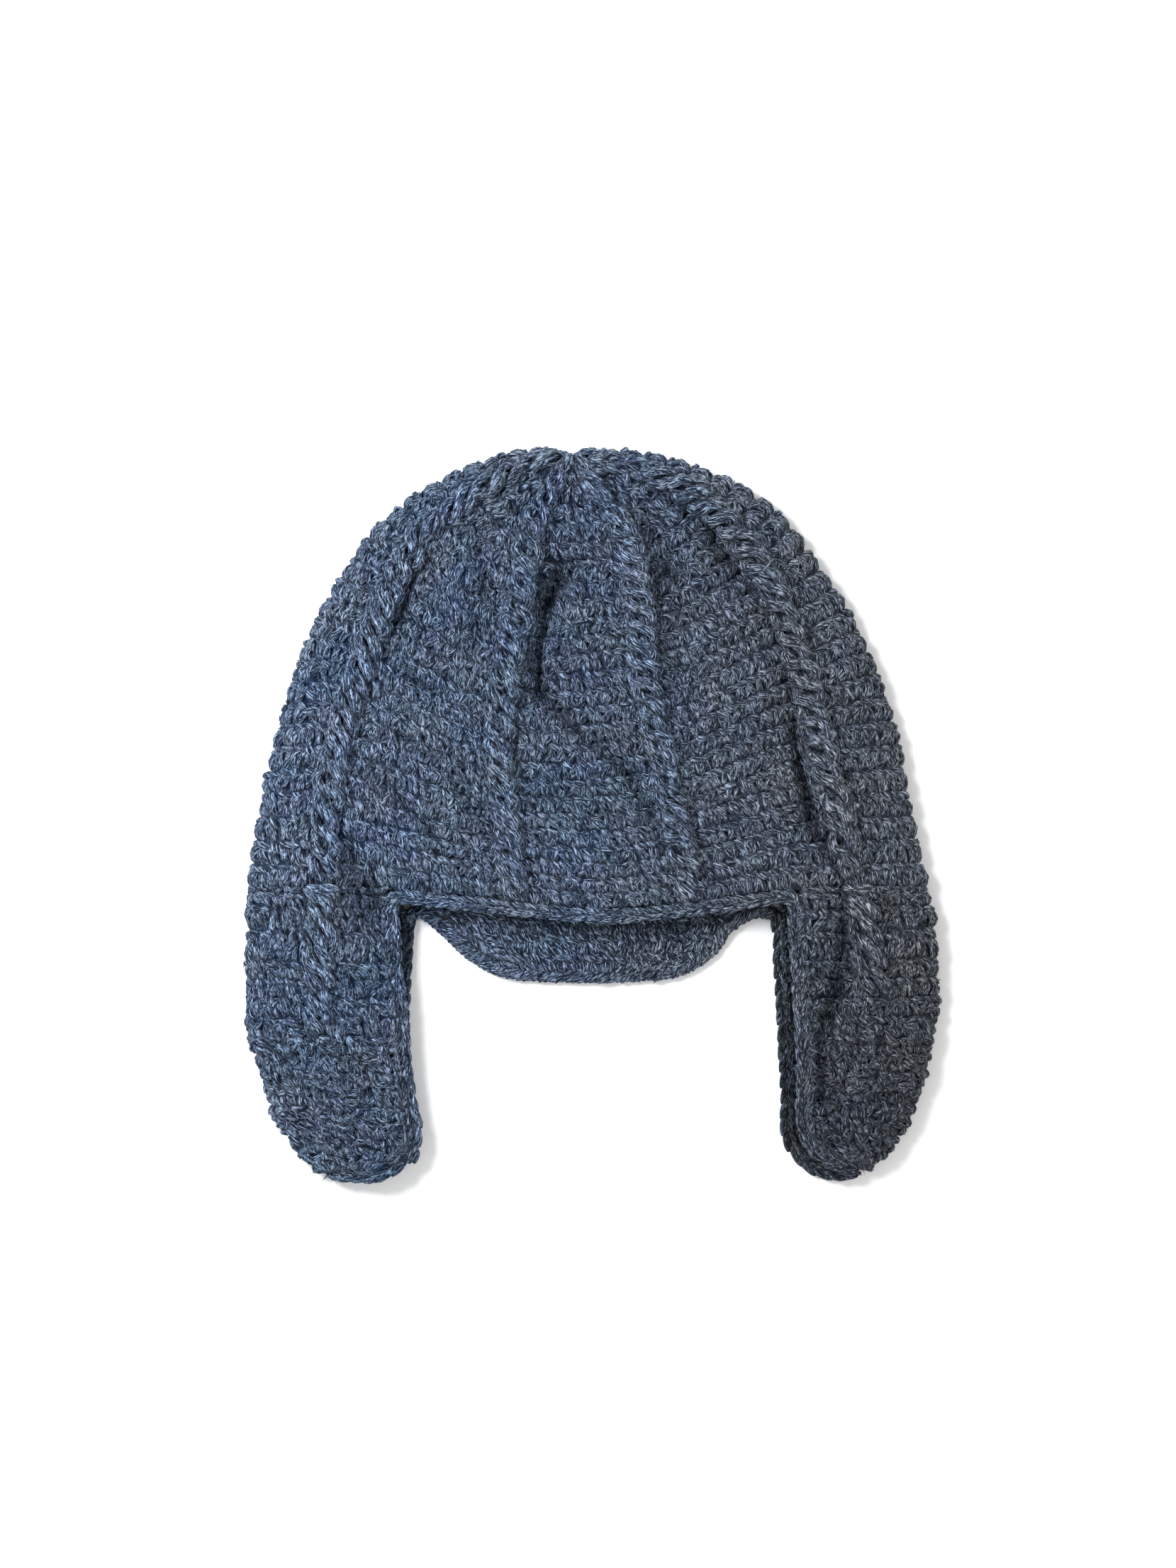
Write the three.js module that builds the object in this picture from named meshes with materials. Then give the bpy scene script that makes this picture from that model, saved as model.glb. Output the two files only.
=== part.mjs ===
// Crocheted earflap cap, lying flat on its back as it would on a table.
// Millimetres. +Z up, +Y towards the top of the crown, +X to the right when looked at from above.
// The back of the cap rests on z = 0. The front lies over it with the hollow for the head between them, open
// towards -Y. Each earflap is one tongue of cloth folded in two along the side of the cap. A rounded nape flap
// hangs below the back, and one crocheted cord edging runs round the whole opening.
import * as THREE from "three";

// ---- named sizes ----
const WALL = 4.5; // thickness of the crocheted cloth
const FOLD_HALF = 6.5; // half the height of the folded side edge
const FOLD_RUN = 7; // how far in from the fold its rounding reaches
const PUFF = 12.5; // how far the front rises above the folded edge at mid crown
const PUFF_RUN = 34; // distance from the fold over which it rises
const SEAM_GAP = 0.4; // between two pieces that are crocheted together
const EDGE_R = 2.7; // radius of the cord edging
const EDGE_OUT = EDGE_R + 0.5; // its centre line stands this far out from the cloth's border
const RIDGE_HIGH = 2.2; // how far a cable stands above the cloth
const RIDGE_WIDE = 4.6; // its half width
const CABLE_S = [0.125, 0.375, 0.625, 0.875]; // where the four front cables cross each round, 0 left fold to 1 right fold

// Rounds of the crown, from the top centre (t = 0) to the hem (t = 1): y of the left and right folds and of the
// middle, x of the left fold, of the four cables and of the right fold.
const ROUNDS = [
  { t: 0.0, yL: 143.8, yR: 143.8, yMid: 143.8, xL: -7.7, c1: -7.7, c2: -7.7, c3: -7.7, c4: -7.7, xR: -7.7 },
  { t: 0.06, yL: 144.9, yR: 144.1, yMid: 132.7, xL: -22.0, c1: -20.8, c2: -13.2, c3: -1.8, c4: 6.0, xR: 7.2 },
  { t: 0.12, yL: 142.2, yR: 142.5, yMid: 121.8, xL: -35.8, c1: -34.0, c2: -19.6, c3: 5.8, c4: 20.2, xR: 22.0 },
  { t: 0.2, yL: 135.2, yR: 137.8, yMid: 107.2, xL: -53.7, c1: -50.6, c2: -24.6, c3: 13.0, c4: 36.5, xR: 41.4 },
  { t: 0.32, yL: 120.4, yR: 124.3, yMid: 85.3, xL: -78.0, c1: -69.2, c2: -27.8, c3: 17.6, c4: 54.0, xR: 67.6 },
  { t: 0.45, yL: 96.7, yR: 99.8, yMid: 61.6, xL: -98.0, c1: -82.0, c2: -32.6, c3: 19.6, c4: 69.4, xR: 88.6 },
  { t: 0.6, yL: 64.8, yR: 67.8, yMid: 34.3, xL: -114.3, c1: -92.0, c2: -36.8, c3: 24.0, c4: 79.8, xR: 107.5 },
  { t: 0.75, yL: 30.4, yR: 32.6, yMid: 6.9, xL: -124.6, c1: -100.2, c2: -35.7, c3: 30.0, c4: 87.6, xR: 119.8 },
  { t: 0.88, yL: 0.1, yR: 0.9, yMid: -16.8, xL: -131.4, c1: -104.5, c2: -33.0, c3: 35.2, c4: 95.2, xR: 126.0 },
  { t: 1.0, yL: -28.3, yR: -28.3, yMid: -36.2, xL: -135.9, c1: -106.5, c2: -30.2, c3: 40.2, c4: 101.2, xR: 132.3 },
];
const BACK_MID = -37.8; // y of the middle of the last round at the back
const GUIDE_S = [0, ...CABLE_S, 1];
const GUIDE_X = ["xL", "c1", "c2", "c3", "c4", "xR"];

// Rows of each earflap, top to tip: the fold, then the free edge of the front half (F) and of the back half (B).
const FLAP_LEFT = [
  { v: 0.0, xFold: -135.9, yFold: -28.3, xF: -81.6, yF: -35.0, xB: -75.5, yB: -34.6 },
  { v: 0.12, xFold: -136.2, yFold: -41.7, xF: -82.3, yF: -45.6, xB: -75.7, yB: -45.6 },
  { v: 0.24, xFold: -136.6, yFold: -55.7, xF: -81.2, yF: -57.4, xB: -76.6, yB: -57.4 },
  { v: 0.38, xFold: -136.6, yFold: -72.5, xF: -79.4, yF: -72.9, xB: -77.8, yB: -72.9 },
  { v: 0.52, xFold: -134.0, yFold: -89.3, xF: -78.2, yF: -89.3, xB: -78.0, yB: -89.3 },
  { v: 0.65, xFold: -130.4, yFold: -103.3, xF: -76.9, yF: -103.9, xB: -77.2, yB: -103.9 },
  { v: 0.77, xFold: -125.9, yFold: -115.9, xF: -75.0, yF: -117.0, xB: -75.6, yB: -117.0 },
  { v: 0.87, xFold: -121.0, yFold: -126.3, xF: -73.6, yF: -126.8, xB: -74.2, yB: -126.6 },
  { v: 0.94, xFold: -115.8, yFold: -133.2, xF: -77.8, yF: -133.6, xB: -78.4, yB: -133.4 },
  { v: 1.0, xFold: -109.0, yFold: -138.6, xF: -86.8, yF: -138.8, xB: -87.4, yB: -138.8 },
];
const FLAP_RIGHT = [
  { v: 0.0, xFold: 132.3, yFold: -28.3, xF: 81.3, yF: -34.6, xB: 75.7, yB: -34.2 },
  { v: 0.12, xFold: 134.8, yFold: -41.7, xF: 83.0, yF: -44.9, xB: 76.3, yB: -44.9 },
  { v: 0.24, xFold: 135.8, yFold: -55.7, xF: 84.4, yF: -56.7, xB: 77.1, yB: -56.7 },
  { v: 0.38, xFold: 135.9, yFold: -72.5, xF: 85.4, yF: -72.5, xB: 78.0, yB: -72.5 },
  { v: 0.52, xFold: 134.1, yFold: -89.3, xF: 86.4, yF: -89.0, xB: 79.1, yB: -89.6 },
  { v: 0.65, xFold: 131.0, yFold: -103.3, xF: 86.8, yF: -102.6, xB: 79.9, yB: -103.9 },
  { v: 0.77, xFold: 126.7, yFold: -115.9, xF: 86.6, yF: -114.2, xB: 80.2, yB: -116.8 },
  { v: 0.87, xFold: 121.4, yFold: -126.3, xF: 87.4, yF: -123.2, xB: 80.8, yB: -126.6 },
  { v: 0.94, xFold: 116.6, yFold: -133.0, xF: 91.0, yF: -129.6, xB: 84.8, yB: -133.4 },
  { v: 1.0, xFold: 110.0, yFold: -137.6, xF: 98.4, yF: -134.6, xB: 93.2, yB: -138.2 },
];

// Rows of the nape flap below the last back round: its left and right borders, and how far the middle hangs below them.
const NAPE = [
  { y: -38.2, xL: -60.0, xR: 52.2, sag: 0 },
  { y: -43.6, xL: -55.6, xR: 50.2, sag: 0.1 },
  { y: -49.4, xL: -49.8, xR: 46.6, sag: 0.3 },
  { y: -54.2, xL: -43.6, xR: 41.2, sag: 0.5 },
  { y: -57.8, xL: -37.0, xR: 34.6, sag: 0.9 },
  { y: -59.6, xL: -29.6, xR: 27.6, sag: 1.2 },
];

// How much of the puff is left at each height: full over the crown, low at the hem, almost none on the flaps.
const PUFF_AT = [
  { y: 150, gain: 1 },
  { y: 55, gain: 1 },
  { y: 10, gain: 0.86 },
  { y: -38, gain: 0.42 },
  { y: -62, gain: 0.2 },
  { y: -95, gain: 0.07 },
  { y: -150, gain: 0.04 },
];

// Dents (dz < 0) and swells (dz > 0) of the front: centre, half length, half width, direction of the length in
// degrees from +X, and height.
const DENTS = [
  { x: -13.2, y: 88.4, long: 8, wide: 6, turn: 60, dz: -4.2 },
  { x: -1.5, y: 88.0, long: 12, wide: 9, turn: 90, dz: -2.2 },
  { x: -20.8, y: 55.0, long: 15, wide: 3.6, turn: 86, dz: -4.0 },
  { x: -3.4, y: 33.6, long: 21, wide: 4.2, turn: -40, dz: -2.6 },
  { x: 17.6, y: 11.8, long: 12, wide: 4.4, turn: -62, dz: -2.4 },
  { x: -74.0, y: 80.0, long: 9, wide: 4.4, turn: 80, dz: -2.0 },
  { x: -66.0, y: 108.0, long: 9, wide: 4.0, turn: 75, dz: -1.4 },
  { x: -63.0, y: 48.0, long: 12, wide: 7, turn: -35, dz: -1.3 },
  { x: -56.0, y: 6.0, long: 13, wide: 6, turn: -42, dz: -1.6 },
  { x: -38.0, y: 112.0, long: 14, wide: 5, turn: 80, dz: -1.6 },
  { x: -7.0, y: 129.0, long: 6, wide: 4.5, turn: 90, dz: -1.8 },
  { x: 17.0, y: 132.0, long: 9, wide: 4, turn: -30, dz: -1.6 },
  { x: 55.0, y: 99.0, long: 15, wide: 5, turn: -57, dz: -3.2 },
  { x: 35.0, y: 62.0, long: 11, wide: 8, turn: 80, dz: -1.8 },
  { x: 30.0, y: 92.0, long: 12, wide: 6, turn: 88, dz: -2.0 },
  { x: 85.0, y: 11.0, long: 18, wide: 4.4, turn: -72, dz: -3.0 },
  { x: 76.0, y: 42.0, long: 16, wide: 4.4, turn: -80, dz: -2.0 },
  { x: 52.0, y: -5.0, long: 14, wide: 8, turn: 55, dz: -1.2 },
  { x: 99.0, y: -19.0, long: 9, wide: 4.4, turn: -80, dz: -2.4 },
  { x: 95.5, y: -72.0, long: 32, wide: 6, turn: 84, dz: -2.4 },
  { x: -94.0, y: -43.0, long: 13, wide: 7, turn: 80, dz: -2.4 },
  { x: -83.0, y: -111.0, long: 9, wide: 5, turn: -50, dz: -1.2 },
  { x: -7.0, y: 65.0, long: 9, wide: 8, turn: 0, dz: 2.0 },
  { x: 60.0, y: 79.0, long: 13, wide: 6, turn: 88, dz: 1.4 },
  { x: -54.0, y: 84.0, long: 18, wide: 7, turn: 100, dz: 2.2 },
  { x: -57.0, y: -15.0, long: 16, wide: 9, turn: -40, dz: 1.6 },
  { x: -115.0, y: -60.0, long: 30, wide: 9, turn: 90, dz: 1.0 },
];

// ---- the shape, worked out from the tables ----
// Smooth curve through a table's rows, by non-uniform Hermite steps.
function along(rows, key, column, at) {
  const n = rows.length;
  const k = Math.min(n - 2, Math.max(0, rows.findIndex((r) => (r[key] - at) * (rows[n - 1][key] - rows[0][key]) >= 0) - 1));
  const step = (i) => rows[i + 1][key] - rows[i][key];
  const rise = (i) => (rows[i + 1][column] - rows[i][column]) / step(i);
  const slope = (i) => (i === 0 ? rise(0) : i === n - 1 ? rise(n - 2) : (rise(i - 1) * step(i) + rise(i) * step(i - 1)) / (step(i) + step(i - 1)));
  const h = step(k);
  const u = (at - rows[k][key]) / h;
  return (
    (1 + 2 * u) * (1 - u) ** 2 * rows[k][column] +
    u * (1 - u) ** 2 * h * slope(k) +
    u * u * (3 - 2 * u) * rows[k + 1][column] +
    u * u * (u - 1) * h * slope(k + 1)
  );
}

const mix = (a, b, w) => a + (b - a) * w;

// A round of the crown at the front: s runs from the left fold to the right fold.
function frontPoint(s, t) {
  const guides = GUIDE_X.map((column, i) => ({ s: GUIDE_S[i], x: along(ROUNDS, "t", column, t) }));
  const [yL, yR, yMid] = ["yL", "yR", "yMid"].map((column) => along(ROUNDS, "t", column, t));
  // The last rounds sag only in their middle, because the earflaps hold up their ends.
  const bow = Math.sin(Math.PI * s) ** (1 + 4.2 * t ** 6);
  return [along(guides, "s", "x", s), mix(yL, yR, s) + (yMid - (yL + yR) / 2) * bow];
}

// The same round at the back, where the cloth lies flat and its rounds are evenly spread.
function backPoint(s, t) {
  const [yL, yR, yMid, xL, xR] = ["yL", "yR", "yMid", "xL", "xR"].map((column) => along(ROUNDS, "t", column, t));
  const share = mix((1 - Math.cos(Math.PI * s)) / 2, s, t ** 0.7);
  return [mix(xL, xR, share), mix(yL, yR, s) + (yMid + (BACK_MID - ROUNDS.at(-1).yMid) * t - (yL + yR) / 2) * Math.sin(Math.PI * s)];
}

// The line along which the cloth turns from front to back: left tip, up the side, over the top, down to the right tip.
const FOLD = [];
for (let i = 20; i > 0; i--) FOLD.push(["xFold", "yFold"].map((column) => along(FLAP_LEFT, "v", column, i / 20)));
for (let i = 40; i > 0; i--) FOLD.push(["xL", "yL"].map((column) => along(ROUNDS, "t", column, i / 40)));
for (let i = 0; i <= 40; i++) FOLD.push(["xR", "yR"].map((column) => along(ROUNDS, "t", column, i / 40)));
for (let i = 1; i <= 20; i++) FOLD.push(["xFold", "yFold"].map((column) => along(FLAP_RIGHT, "v", column, i / 20)));

function fromFold(x, y) {
  let best = Infinity;
  for (let i = 1; i < FOLD.length; i++) {
    const [ax, ay] = FOLD[i - 1];
    const dx = FOLD[i][0] - ax;
    const dy = FOLD[i][1] - ay;
    const w = Math.min(1, Math.max(0, ((x - ax) * dx + (y - ay) * dy) / (dx * dx + dy * dy || 1)));
    best = Math.min(best, Math.hypot(x - ax - w * dx, y - ay - w * dy));
  }
  return best;
}

const rounding = (d) => Math.sqrt(1 - (1 - Math.min(1, d / FOLD_RUN)) ** 2);

// Height of the outside of the front above the table, and of the outside of the back.
function frontHigh(x, y) {
  const d = fromFold(x, y);
  const puff = PUFF * along(PUFF_AT, "y", "gain", y) * (1 - Math.exp(-Math.max(0, d - 2) / PUFF_RUN));
  let dents = 0;
  for (const q of DENTS) {
    const a = (q.turn * Math.PI) / 180;
    const u = ((x - q.x) * Math.cos(a) + (y - q.y) * Math.sin(a)) / q.long;
    const w = (-(x - q.x) * Math.sin(a) + (y - q.y) * Math.cos(a)) / q.wide;
    dents += q.dz * Math.exp(-u * u - w * w);
  }
  return FOLD_HALF * (1 + rounding(d)) + puff + dents * Math.min(1, d / 14);
}
const backHigh = (x, y) => FOLD_HALF * (1 - rounding(fromFold(x, y)));

// How far the cables stand up at a point of a front round.
function ridge(s, t) {
  const [x] = frontPoint(s, t);
  const wide = RIDGE_WIDE * Math.min(1, 0.35 + 1.6 * t);
  return CABLE_S.reduce((sum, c) => sum + RIDGE_HIGH * Math.min(1, t * 6) * Math.exp(-(((x - frontPoint(c, t)[0]) / wide) ** 2)), 0);
}

const front = (s, t) => {
  const [x, y] = frontPoint(s, t);
  return [x, y, frontHigh(x, y) + ridge(s, t) * Math.min(1, fromFold(x, y) / 10)];
};
const back = (s, t) => {
  const [x, y] = backPoint(s, t);
  return [x, y, backHigh(x, y)];
};

// ---- closed walls from grids of points ----
const sub = (a, b) => a.map((q, i) => q - b[i]);
const cross = (a, b) => [a[1] * b[2] - a[2] * b[1], a[2] * b[0] - a[0] * b[2], a[0] * b[1] - a[1] * b[0]];
const unit = (a) => a.map((q) => q / (Math.hypot(...a) || 1));

// Outward normals of a grid: rows[j][i], closed round i or not. The row at a seam keeps its normals in the plane of
// the seam, so that the two cloths that meet there stay the same distance apart through their thickness.
function normals(rows, closed, flip, seam) {
  const n = rows[0].length;
  return rows.map((row, j) =>
    row.map((_, i) => {
      const l = closed ? (i + n - 1) % n : Math.max(0, i - 1);
      const r = closed ? (i + 1) % n : Math.min(n - 1, i + 1);
      const du = sub(row[r], row[l]);
      const dv = j === seam ? [0, -1, 0] : sub(rows[Math.min(rows.length - 1, j + 1)][i], rows[Math.max(0, j - 1)][i]);
      return unit(cross(du, dv)).map((q) => q * flip);
    }),
  );
}

const inner = (rows, out) => rows.map((row, j) => row.map((p, i) => p.map((q, k) => q - WALL * out[j][i][k])));

// Joins outer and inner grids into one closed surface. pole is [outer point, inner point] where the first row closes up.
function wall(outer, inside, closed, pole) {
  const at = [];
  const tri = [];
  const nr = outer.length;
  const nc = outer[0].length;
  const put = (rows) => {
    const base = at.length / 3;
    rows.forEach((row) => row.forEach((p) => at.push(...p)));
    return (j, i) => base + j * nc + (closed ? i % nc : i);
  };
  const o = put(outer);
  const n = put(inside);
  const quad = (a, b, c, d) => tri.push(a, b, c, a, c, d);
  const last = closed ? nc : nc - 1;
  for (let j = 0; j < nr - 1; j++)
    for (let i = 0; i < last; i++) {
      quad(o(j, i), o(j + 1, i), o(j + 1, i + 1), o(j, i + 1));
      quad(n(j, i), n(j, i + 1), n(j + 1, i + 1), n(j + 1, i));
    }
  for (let i = 0; i < last; i++) quad(o(nr - 1, i), n(nr - 1, i), n(nr - 1, i + 1), o(nr - 1, i + 1));
  if (pole) {
    const top = at.length / 3;
    at.push(...pole[0], ...pole[1]);
    for (let i = 0; i < last; i++) tri.push(top, o(0, i), o(0, i + 1), top + 1, n(0, i + 1), n(0, i));
  } else for (let i = 0; i < last; i++) quad(o(0, i), o(0, i + 1), n(0, i + 1), n(0, i));
  if (!closed)
    for (let j = 0; j < nr - 1; j++) {
      quad(o(j, 0), n(j, 0), n(j + 1, 0), o(j + 1, 0));
      quad(o(j, nc - 1), o(j + 1, nc - 1), n(j + 1, nc - 1), n(j, nc - 1));
    }
  // Turn the faces outwards if the grid ran the other way.
  let volume = 0;
  for (let i = 0; i < tri.length; i += 3) {
    const [a, b, c] = [tri[i], tri[i + 1], tri[i + 2]].map((q) => at.slice(3 * q, 3 * q + 3));
    const m = cross(b, c);
    volume += a[0] * m[0] + a[1] * m[1] + a[2] * m[2];
  }
  if (volume < 0) for (let i = 0; i < tri.length; i += 3) [tri[i + 1], tri[i + 2]] = [tri[i + 2], tri[i + 1]];
  const g = new THREE.BufferGeometry();
  g.setAttribute("position", new THREE.Float32BufferAttribute(at, 3));
  g.setIndex(tri);
  g.computeVertexNormals();
  return g;
}

const yarn = (shade) => new THREE.MeshStandardMaterial({ color: new THREE.Color(0.075 * shade, 0.098 * shade, 0.152 * shade), roughness: 0.95, metalness: 0 });

// ---- crown: rounds from the top centre to the hem, each a loop over the front and back under the back ----
const CROWN_T = [0.03, 0.06, 0.1, 0.15, 0.2, 0.26, 0.32, 0.38, 0.44, 0.5, 0.56, 0.62, 0.68, 0.74, 0.8, 0.86, 0.91, 0.96, 1];
const FOLD_STEPS = [22.5, 45, 67.5, 90].map((a) => FOLD_RUN * (1 - Math.cos((a * Math.PI) / 180)));
const FRONT_S = [0.05, 0.088, 0.107, 0.125, 0.143, 0.162, 0.2, 0.25, 0.3, 0.338, 0.357, 0.375, 0.393, 0.412, 0.45, 0.5, 0.55, 0.588, 0.607, 0.625, 0.643, 0.662, 0.7, 0.75, 0.8, 0.838, 0.857, 0.875, 0.893, 0.912, 0.95];
const BACK_S = [0.05, 0.13, 0.21, 0.3, 0.4, 0.5, 0.6, 0.7, 0.79, 0.87, 0.95];

// The s at which a round has come a given distance in from its left or right fold.
function inFromFold(point, t, d, fromRight) {
  let s = 0;
  let gone = 0;
  let [px, py] = point(fromRight ? 1 : 0, t);
  while (s < 0.5) {
    s += 0.002;
    const [x, y] = point(fromRight ? 1 - s : s, t);
    const step = Math.hypot(x - px, y - py);
    if (gone + step >= d) return s - 0.002 + (0.002 * (d - gone)) / step;
    gone += step;
    [px, py] = [x, y];
  }
  return s;
}

function stations(point, t, interior) {
  let length = 0;
  for (let i = 1; i <= 32; i++) {
    const [a, b] = [point((i - 1) / 32, t), point(i / 32, t)];
    length += Math.hypot(a[0] - b[0], a[1] - b[1]);
  }
  const squeeze = Math.min(1, (0.16 * length) / FOLD_RUN);
  const left = FOLD_STEPS.map((d) => inFromFold(point, t, d * squeeze, false));
  const right = FOLD_STEPS.map((d) => 1 - inFromFold(point, t, d * squeeze, true)).reverse();
  const lo = Math.max(0.05, left[3] + 0.012);
  const hi = Math.min(0.95, right[0] - 0.012);
  return [...left, ...interior.map((s) => lo + ((s - 0.05) / 0.9) * (hi - lo)), ...right];
}

function crown() {
  const rows = CROWN_T.map((t) => [
    front(0, t),
    ...stations(frontPoint, t, FRONT_S).map((s) => front(s, t)),
    front(1, t),
    ...stations(backPoint, t, BACK_S).reverse().map((s) => back(s, t)),
  ]);
  const out = normals(rows, true, -1, rows.length - 1);
  const top = [...frontPoint(0.5, 0), FOLD_HALF];
  return wall(rows, inner(rows, out), true, [top, [top[0], top[1] - WALL, top[2]]]);
}

// ---- earflap: rows from the hem to the tip, each from the back half's free edge round the fold to the front half's ----
const FLAP_V = [0, 0.07, 0.15, 0.24, 0.34, 0.44, 0.54, 0.63, 0.71, 0.78, 0.84, 0.9, 0.95, 1];
const FLAP_W = [0.22, 0.4, 0.58, 0.72, 0.86, 1];

// y of the crown's last round at a given x, front or back.
function hemY(half, x) {
  const point = half === "F" ? frontPoint : backPoint;
  const wide = ROUNDS.at(-1).xR - ROUNDS.at(-1).xL;
  let s = 0.5;
  for (let k = 0; k < 40; k++) s = Math.min(1, Math.max(0, s + (0.8 * (x - point(s, 1)[0])) / wide));
  return point(s, 1)[1];
}

function flapPoint(table, half, w, v) {
  const [yFold, x, y] = ["yFold", "x" + half, "y" + half].map((column) => along(table, "v", column, v));
  // The first row keeps to the crown's last round, which bows a little.
  const share = Math.max(0, 1 - v / 0.24);
  const xFold = along(table, "yFold", "xFold", mix(yFold, ROUNDS.at(-1).yL, share));
  const px = mix(xFold, x, w);
  return [px, mix(mix(yFold, y, w), share ? hemY(half, px) : 0, share) - SEAM_GAP * share];
}

function flap(table) {
  const side = Math.sign(table[0].xFold);
  const rows = FLAP_V.map((v) => {
    const reach = (half) => Math.hypot(...sub(flapPoint(table, half, 1, v), flapPoint(table, half, 0, v)));
    const spread = (half) => {
      const run = Math.min(FOLD_RUN, 0.45 * reach(half)) / reach(half);
      return [...FOLD_STEPS.map((d) => (d / FOLD_RUN) * run), ...FLAP_W.map((w) => run + (1 - run) * ((w - 0.12) / 0.88))];
    };
    const point = (half, high) => (w) => {
      const [x, y] = flapPoint(table, half, w, v);
      return [x, y, high(x, y)];
    };
    return [...spread("B").reverse().map(point("B", backHigh)), point("F", () => FOLD_HALF)(0), ...spread("F").map(point("F", frontHigh))];
  });
  return wall(rows, inner(rows, normals(rows, false, side, 0)), false);
}

// ---- nape flap: flat on the table below the back of the crown ----
const NAPE_W = [0, 0.07, 0.16, 0.27, 0.39, 0.5, 0.61, 0.73, 0.84, 0.93, 1];

function nape() {
  const rows = NAPE.map((row, j) =>
    NAPE_W.map((w) => {
      const x = mix(row.xL, row.xR, w);
      return [x, j ? row.y - row.sag * Math.sin(Math.PI * w) : hemY("B", x) - SEAM_GAP, 0];
    }),
  );
  return wall(rows, rows.map((row) => row.map(([x, y]) => [x, y, WALL])), false);
}

// ---- cord edging: one closed loop round the opening ----
function edging() {
  const mid = (x, y, isFront) => (isFront ? frontHigh(x, y) - WALL / 2 : Math.max(EDGE_R + 0.2, backHigh(x, y) + WALL / 2));
  const path = [];
  const add = (x, y, z) => path.push(new THREE.Vector3(x, y, z));
  // One flap: down the free edge of one half, round the tip, and up the other half. The line keeps square to the border.
  const round = (table, order) => {
    const side = Math.sign(table[0].xFold);
    const put = (half, v) => {
      const [x, y] = flapPoint(table, half, 1, v);
      const [ax, ay] = flapPoint(table, half, 1, Math.max(0.05, v - 0.03));
      const [bx, by] = flapPoint(table, half, 1, Math.min(1, v + 0.03));
      const [nx, ny] = unit([side * (by - ay), -side * (bx - ax), 0]);
      const off = EDGE_OUT + (half === "F" ? 0.7 : 0.1);
      add(x + nx * off, y + ny * off, mid(x, y, half === "F"));
    };
    const corner = (half) => {
      const [x, y] = flapPoint(table, half, 1, 1);
      add(x - side * 0.45 * EDGE_OUT, y - 1.02 * EDGE_OUT, mid(x, y, half === "F") + (half === "B" ? 0.4 : 0));
    };
    const stops = [0.08, 0.16, 0.26, 0.36, 0.46, 0.56, 0.66, 0.75, 0.83, 0.89, 0.94];
    const run = (half) => (half === "F" ? stops : stops.slice(1));
    const [tx, ty] = flapPoint(table, "F", 0, 1);
    run(order[0]).forEach((v) => put(order[0], v));
    corner(order[0]);
    add(tx - side * 4.2, ty - 1.02 * EDGE_OUT, FOLD_HALF);
    corner(order[1]);
    run(order[1]).reverse().forEach((v) => put(order[1], v));
  };
  // Front hem, left to right, between the flaps' front corners.
  const [fromX, toX] = [FLAP_LEFT[0].xF + EDGE_OUT, FLAP_RIGHT[0].xF - EDGE_OUT];
  for (let i = 0; i <= 14; i++) {
    const x = mix(fromX + 2.2, toX - 2.2, i / 14);
    const y = hemY("F", x);
    add(x, y - EDGE_OUT - 0.2, mid(x, y, true));
  }
  round(FLAP_RIGHT, ["F", "B"]);
  // Back: up into the right notch, round the nape flap, and into the left notch.
  add(FLAP_RIGHT[0].xB - EDGE_OUT - 0.8, hemY("B", 72) - EDGE_OUT - 2.4, EDGE_R + 0.2);
  add(mix(FLAP_RIGHT[0].xB, NAPE[0].xR, 0.5), hemY("B", 64) - EDGE_OUT - 0.3, EDGE_R + 0.2);
  const low = NAPE.at(-1);
  const bottom = [0.85, 0.7, 0.5, 0.3, 0.15].map((w) => [mix(low.xL, low.xR, w), low.y - low.sag * Math.sin(Math.PI * w)]);
  const rim = [...NAPE.slice(1).map((r) => [r.xR, r.y]), ...bottom, ...NAPE.slice(1).map((r) => [r.xL, r.y]).reverse()];
  rim.forEach(([x, y], i) => {
    const [a, b] = [rim[Math.max(0, i - 1)], rim[Math.min(rim.length - 1, i + 1)]];
    const [nx, ny] = unit([b[1] - a[1], a[0] - b[0], 0]);
    const out = ny > 0.05 || (x > 0 ? nx < -0.05 : nx > 0.05) ? -1 : 1;
    add(x + out * nx * (EDGE_OUT + 0.15), y + out * ny * (EDGE_OUT + 0.15), EDGE_R + 0.2);
  });
  add(mix(FLAP_LEFT[0].xB, NAPE[0].xL, 0.5), hemY("B", -68) - EDGE_OUT - 0.3, EDGE_R + 0.2);
  add(FLAP_LEFT[0].xB + EDGE_OUT + 0.8, hemY("B", -72) - EDGE_OUT - 2.4, EDGE_R + 0.2);
  round(FLAP_LEFT, ["B", "F"]);
  const loop = new THREE.CatmullRomCurve3(path, true, "centripetal");
  return new THREE.TubeGeometry(loop, 170, EDGE_R, 8, true);
}

// ---- the cap ----
const cap = new THREE.Group();
cap.name = "earflap_cap";
for (const [name, geometry, shade] of [
  ["crown", crown(), 1],
  ["earflap_left", flap(FLAP_LEFT), 1.05],
  ["earflap_right", flap(FLAP_RIGHT), 0.95],
  ["nape_flap", nape(), 0.9],
  ["edging", edging(), 1.1],
]) {
  const mesh = new THREE.Mesh(geometry, yarn(shade));
  mesh.name = name;
  cap.add(mesh);
}

// The origin is the middle of the cap's footprint, on the table.
cap.updateMatrixWorld(true);
const box = new THREE.Box3().setFromObject(cap);
for (const mesh of cap.children) mesh.geometry.translate(-(box.min.x + box.max.x) / 2, -(box.min.y + box.max.y) / 2, -box.min.z);

export default cap;
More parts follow.
